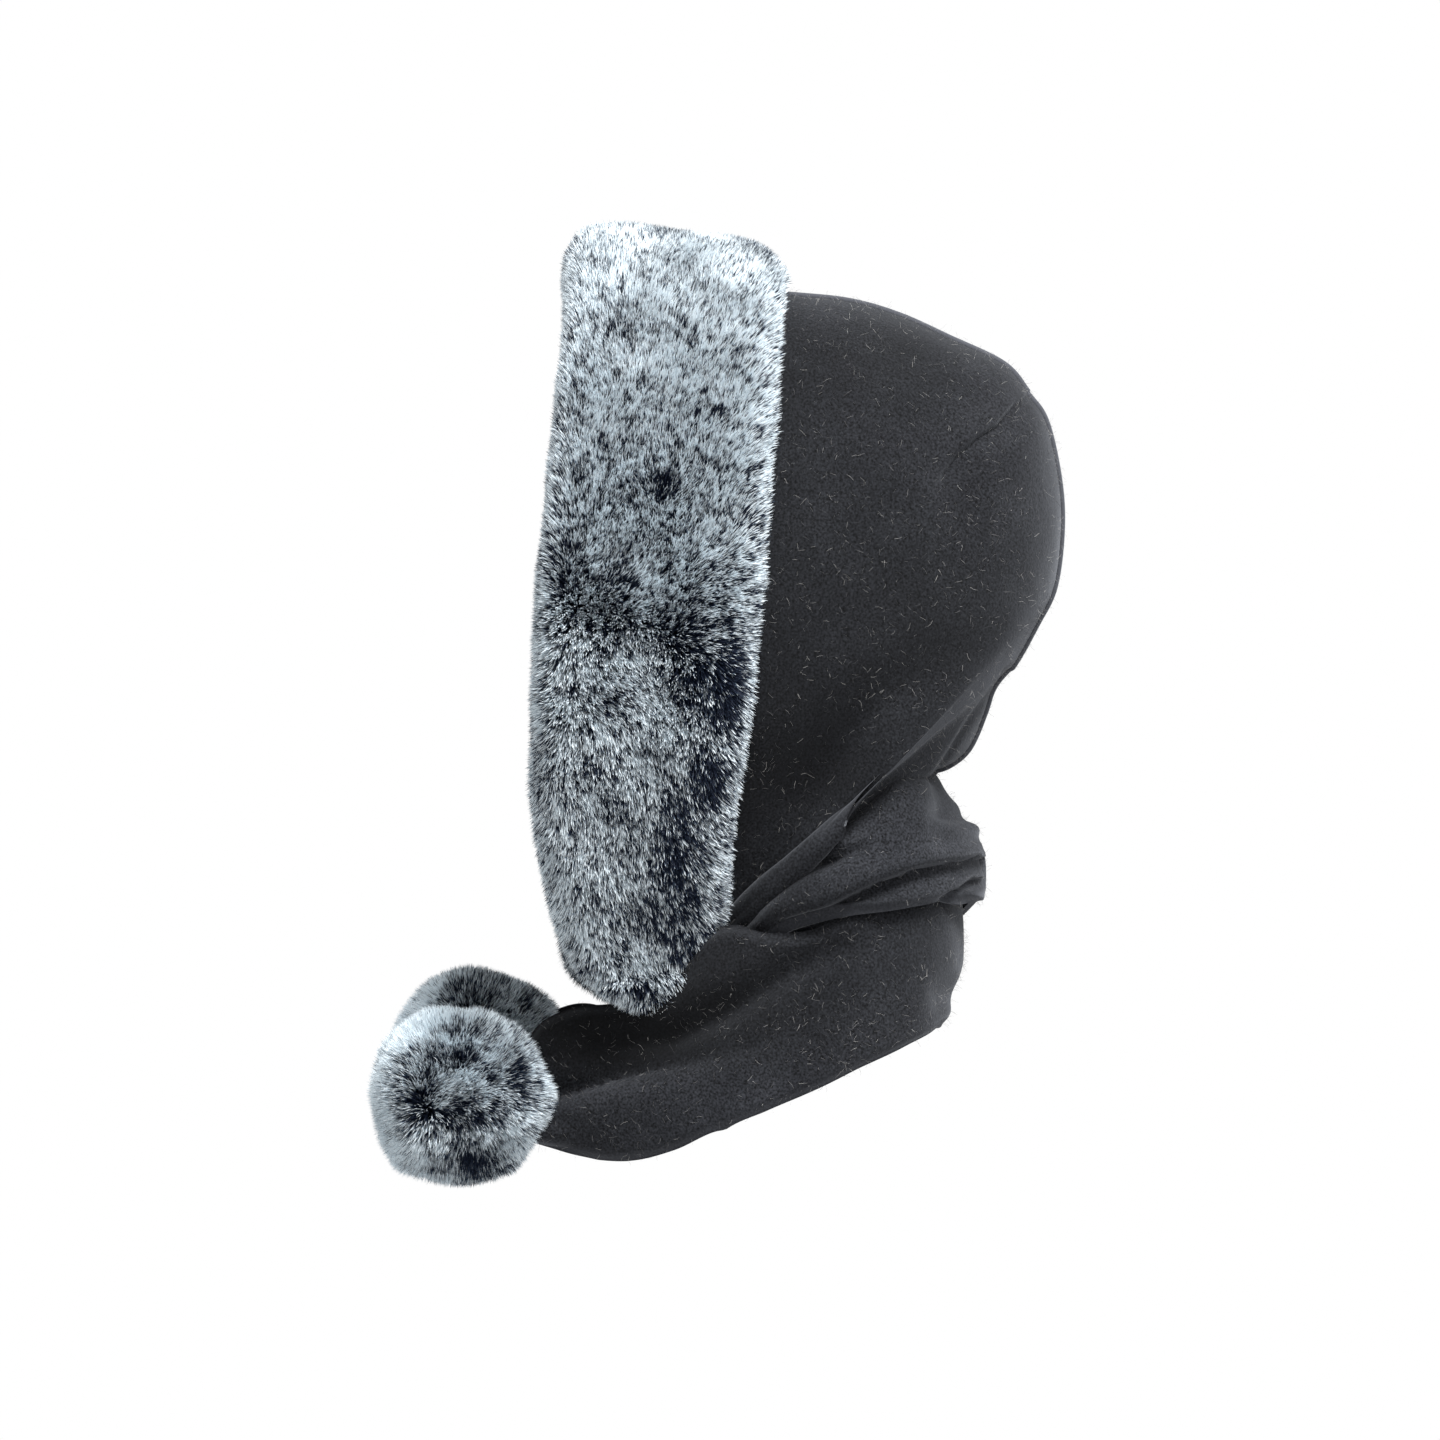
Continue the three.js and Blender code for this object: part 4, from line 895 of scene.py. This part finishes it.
def pompom(name, shift, spots, tree, shape, fur, backing_finish, seed):
    """Round heart of a pompom and the fibres all round it."""
    low, high = (np.array(corner) * 1000 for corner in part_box(name))
    centre = (low + high) / 2
    centre[1] = low[1] + POMPOM_DIAMETER / 2
    centre += shift
    rings, columns = POMPOM_POINTS
    down = np.linspace(0.02, math.pi - 0.02, rings)[:, None]
    turn = (np.arange(columns) * 2 * math.pi / columns)[None, :]
    rays = [np.sin(down) * np.cos(turn), np.sin(down) * np.sin(turn), np.cos(down) + 0 * turn]
    rays = np.stack(rays, axis=-1)
    radius = clouds(rays * POMPOM_HEART, POMPOM_LUMPS, seed, POMPOM_HEART)
    grid = centre + rays * radius[..., None]
    heart = new_mesh(name + "_heart", grid, capped_tube(grid), backing_finish)
    swirl = swirls(grid, 24, (seed + 3, seed + 5, seed + 7)) * 0.75
    dark, push = partings(grid, spots)
    # Painted light makes the front and the top paler; paler on the far pompom, darker in the partings
    tone = clouds(grid, POMPOM_TONES, seed, POMPOM_FROST) - dark * POMPOM_PARTING_DARK
    front, top = soft_step(-192, -218, grid[..., 1]), soft_step(-380, -350, grid[..., 2])
    tone += POMPOM_FRONT_PAINTED_LIGHT * front + POMPOM_TOP_PAINTED_LIGHT * top
    tone += FAR_POMPOM_FROST * soft_step(0, -20, grid[..., 0])
    values = {
        "comb": unit(rays + swirl + push), "outward": rays, "frost": tone,
        "reach": 1 + 0.2 * cloud(grid, 16, seed + 13), "cover": np.ones(rays.shape[:2]),
    }
    bed = new_object("bed", heart.data.copy())
    fibres = grow_fibres(
        name + "_fibres", bed, values, tree, shape, fur, thinned(POMPOM_FIBRES), seed
    )
    return [heart, fibres]


def scatter_lint(cloth, count, tree, thread, finish, seed):
    """Stray pale lint lying about on the outer face of a sheet of cloth."""
    total = len(cloth.data.vertices)
    normals, points = np.empty(total * 3), np.empty(total * 3)
    cloth.data.vertices.foreach_get("normal", normals)
    cloth.data.vertices.foreach_get("co", points)
    patchy = np.clip(0.75 + 0.8 * cloud(points.reshape(-1, 3) * 1000, 40, seed), 0, 2)
    patchy[total // 2:] = 0
    values = {
        "comb": normals * 0.1, "outward": normals, "frost": np.full(total, 0.3),
        "reach": np.ones(total), "cover": patchy,
    }
    area = sum(face.area for face in cloth.data.polygons) / 2
    settings = {**LINT_FIBRES, "Density": count / area}
    bed = new_object("bed", cloth.data.copy())
    return grow_fibres(cloth.name + "_lint", bed, values, tree, thread, finish, settings, seed)


def blend_colours(tree, shader, factor, dark, light, middle=None):
    """Lets a factor from 0 to 1 run the base colour from dark to light."""
    ramp = node(tree, "ShaderNodeValToRGB", {"Fac": factor})
    stops = ramp.color_ramp.elements
    stops[0].color, stops[1].color = dark, light
    if middle:
        stops.new(FUR_MIDDLE_AT).color = middle
    tree.links.new(out(ramp, "Color"), shader.inputs["Base Color"])


def new_material(name, roughness):
    """A material with its nodes and its shader."""
    material = bpy.data.materials.new(name)
    material.use_nodes = True
    shader = material.node_tree.nodes["Principled BSDF"]
    shader.inputs["Roughness"].default_value = roughness
    return material, material.node_tree, shader


def fleece_finish():
    """Charcoal fleece: short brushed nap, faint blue cast, soft light at grazing angles, and painted
    light, shade and sheen in its colour.
    """
    material, tree, shader = new_material("charcoal_fleece", 0.92)
    shader.inputs["Specular IOR Level"].default_value = 0.12
    shader.inputs["Sheen Weight"].default_value = 0.22
    shader.inputs["Sheen Roughness"].default_value = 0.5
    shader.inputs["Sheen Tint"].default_value = FLEECE_SHEEN
    place = out(node(tree, "ShaderNodeTexCoord"), "Object")
    patch = node(
        tree, "ShaderNodeTexNoise", {"Vector": place, "Scale": 1 / FLEECE_PATCH, "Detail": 4.0}
    )
    light = node(tree, "ShaderNodeMapRange", {"Value": out(patch), "From Min": 0.3, "From Max": 0.7})
    patches = node(
        tree, "ShaderNodeMix", {"Factor": out(light), "A": FLEECE_DARK, "B": FLEECE_LIGHT},
        data_type="RGBA",
    )
    nap = node(tree, "ShaderNodeTexNoise", {"Vector": place, "Scale": 850.0, "Detail": 3.0})
    tufts = node(tree, "ShaderNodeTexNoise", {"Vector": place, "Scale": 420.0, "Detail": 4.0})
    speck = node(
        tree, "ShaderNodeMapRange",
        {"Value": out(nap), "From Min": 0.3, "From Max": 0.7, "To Min": 0.1, "To Max": 2.5},
    )
    # Painted light and shade, stored on the cloth, scales the colour
    pile = node(tree, "ShaderNodeAttribute", attribute_name="nap")
    pale = {0: out(speck), 1: out(pile, "Fac")}
    strength = node(tree, "ShaderNodeMath", pale, operation="MULTIPLY")
    colour = node(
        tree, "ShaderNodeVectorMath", {"Vector": out(patches), "Scale": out(strength)},
        operation="SCALE",
    )
    # Painted sheen, stored on the cloth, lightens the colour on the seam ridge and the rims
    worn = node(tree, "ShaderNodeAttribute", attribute_name="worn")
    with_painted_sheen = node(
        tree, "ShaderNodeMix",
        {"Factor": out(worn, "Fac"), "A": out(colour), "B": FLEECE_PAINTED_SHEEN}, data_type="RGBA",
    )
    tree.links.new(out(with_painted_sheen), shader.inputs["Base Color"])
    height = node(tree, "ShaderNodeMath", {0: out(nap), 1: out(tufts)}, operation="ADD")
    bump = node(tree, "ShaderNodeBump", {"Strength": 0.4, "Distance": 0.0005, "Height": out(height)})
    tree.links.new(out(bump), shader.inputs["Normal"])
    return material


def fur_finish():
    """Frosted fur: navy-black roots and pale tips."""
    material, tree, shader = new_material("frosted_fur", 0.6)
    shader.inputs["Specular IOR Level"].default_value = 0.3
    tip = node(tree, "ShaderNodeAttribute", attribute_name="tip")
    frost = node(tree, "ShaderNodeAttribute", attribute_name="frost")
    start = node(
        tree, "ShaderNodeMapRange",
        {"Value": out(frost, "Fac"), "To Min": 0.95, "To Max": 0.12},
    )
    above = node(tree, "ShaderNodeMath", {0: out(tip, "Fac"), 1: out(start)}, operation="SUBTRACT")
    pale = node(
        tree, "ShaderNodeMapRange", {"Value": out(above), "From Min": -0.05, "From Max": 0.17},
    )
    blend_colours(tree, shader, out(pale), FUR_ROOT, FUR_TIP, FUR_MIDDLE)
    return material


def lint_finish():
    """Pale lint, each bit a little lighter or darker."""
    material, tree, shader = new_material("pale_lint", 0.8)
    frost = node(tree, "ShaderNodeAttribute", attribute_name="frost")
    blend_colours(tree, shader, out(frost, "Fac"), LINT_DARK, LINT_LIGHT)
    return material


def backing_finish():
    """Dense dark underfur that shows between the fibres."""
    material, tree, shader = new_material("dark_underfur", 0.95)
    shader.inputs["Specular IOR Level"].default_value = 0.1
    place = out(node(tree, "ShaderNodeTexCoord"), "Object")
    fluff = node(tree, "ShaderNodeTexNoise", {"Vector": place, "Scale": 400.0, "Detail": 3.0})
    blend_colours(tree, shader, out(fluff), UNDERFUR_DARK, UNDERFUR_LIGHT)
    return material


def camera_and_lights():
    """Side view from the left, white surroundings and two large soft lamps."""
    scene = bpy.context.scene
    camera = new_object("camera", bpy.data.cameras.new("camera"))
    camera.location = (8, -0.065, -0.2075)
    camera.rotation_euler = (math.pi / 2, 0, math.pi / 2)
    camera.data.lens = 400
    camera.data.sensor_width = 36
    scene.camera = camera
    world = bpy.data.worlds.new("white room")
    world.use_nodes = True
    tree = world.node_tree
    seen = node(tree, "ShaderNodeLightPath").outputs["Is Camera Ray"]
    strength = node(
        tree, "ShaderNodeMapRange", {"Value": seen, "To Min": ROOM_LIGHT, "To Max": 1.0},
    )
    background = tree.nodes["Background"]
    background.inputs["Color"].default_value = (1, 1, 1, 1)
    tree.links.new(out(strength), background.inputs["Strength"])
    scene.world = world
    for name, place, power, size in (
        ("key", (1.8, 1.2, 3.2), 300, 1.6), ("back", (0.4, 2.6, 2.0), 30, 1.6),
    ):
        lamp = new_object(name, bpy.data.lights.new(name, "AREA"))
        lamp.data.energy, lamp.data.size = power, size
        lamp.location = place
        aim = Vector((0, -0.05, -0.2)) - Vector(place)
        lamp.rotation_euler = aim.to_track_quat("-Z", "Y").to_euler()
    scene.view_settings.view_transform = "Standard"


def pale_floor():
    """Plain pale round floor under the hood."""
    turn = np.linspace(0, 2 * math.pi, 97)[:-1]
    points = np.stack([1100 * np.cos(turn), 1100 * np.sin(turn), np.full(96, -620.0)], axis=-1)
    material, _, shader = new_material("pale_floor", 0.9)
    shader.inputs["Base Color"].default_value = FLOOR_GREY
    floor = new_mesh("floor", points, [tuple(range(96))], material)
    floor.visible_diffuse = False


camera_and_lights()
pale_floor()
fleece, fur, underfur = fleece_finish(), fur_finish(), backing_finish()
panel_left = hood_panel("panel_left", 1, fleece)
panel_right = hood_panel("panel_right", -1, fleece)
tail_left = scarf_tail("tail_left", LEFT_TAIL, fleece)
tail_right = scarf_tail("tail_right", RIGHT_TAIL, fleece)
tree, shape = fibre_tree(), fibre_shape()
trim = fur_trim(tree, shape, fur, underfur)
ball_left = pompom(
    "pompom_left", (0, 0.5, 1), LEFT_POMPOM_PARTINGS, tree, shape, fur, underfur, 71
)
ball_right = pompom(
    "pompom_right", (0, -4, -1), RIGHT_POMPOM_PARTINGS, tree, shape, fur, underfur, 91
)
bpy.data.objects.remove(shape)
thread = lint_shape()
pale_lint = lint_finish()
lint = [
    scatter_lint(panel_left, 11000, tree, thread, pale_lint, 3),
    scatter_lint(panel_right, 8000, tree, thread, pale_lint, 4),
    scatter_lint(tail_left, 5000, tree, thread, pale_lint, 5),
    scatter_lint(tail_right, 3500, tree, thread, pale_lint, 6),
]
bpy.data.objects.remove(thread)

for piece in [panel_left, panel_right, tail_left, tail_right]:
    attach(piece, "root")
for piece in trim + ball_left + ball_right:
    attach(piece, "root")
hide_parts("hood_panel_left")
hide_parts("hood_panel_right")
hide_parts("scarf_tail_left")
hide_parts("scarf_tail_right")
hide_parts("fur_trim")
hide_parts("pompom_left")
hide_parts("pompom_right")
for piece in lint:
    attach(piece, "root")
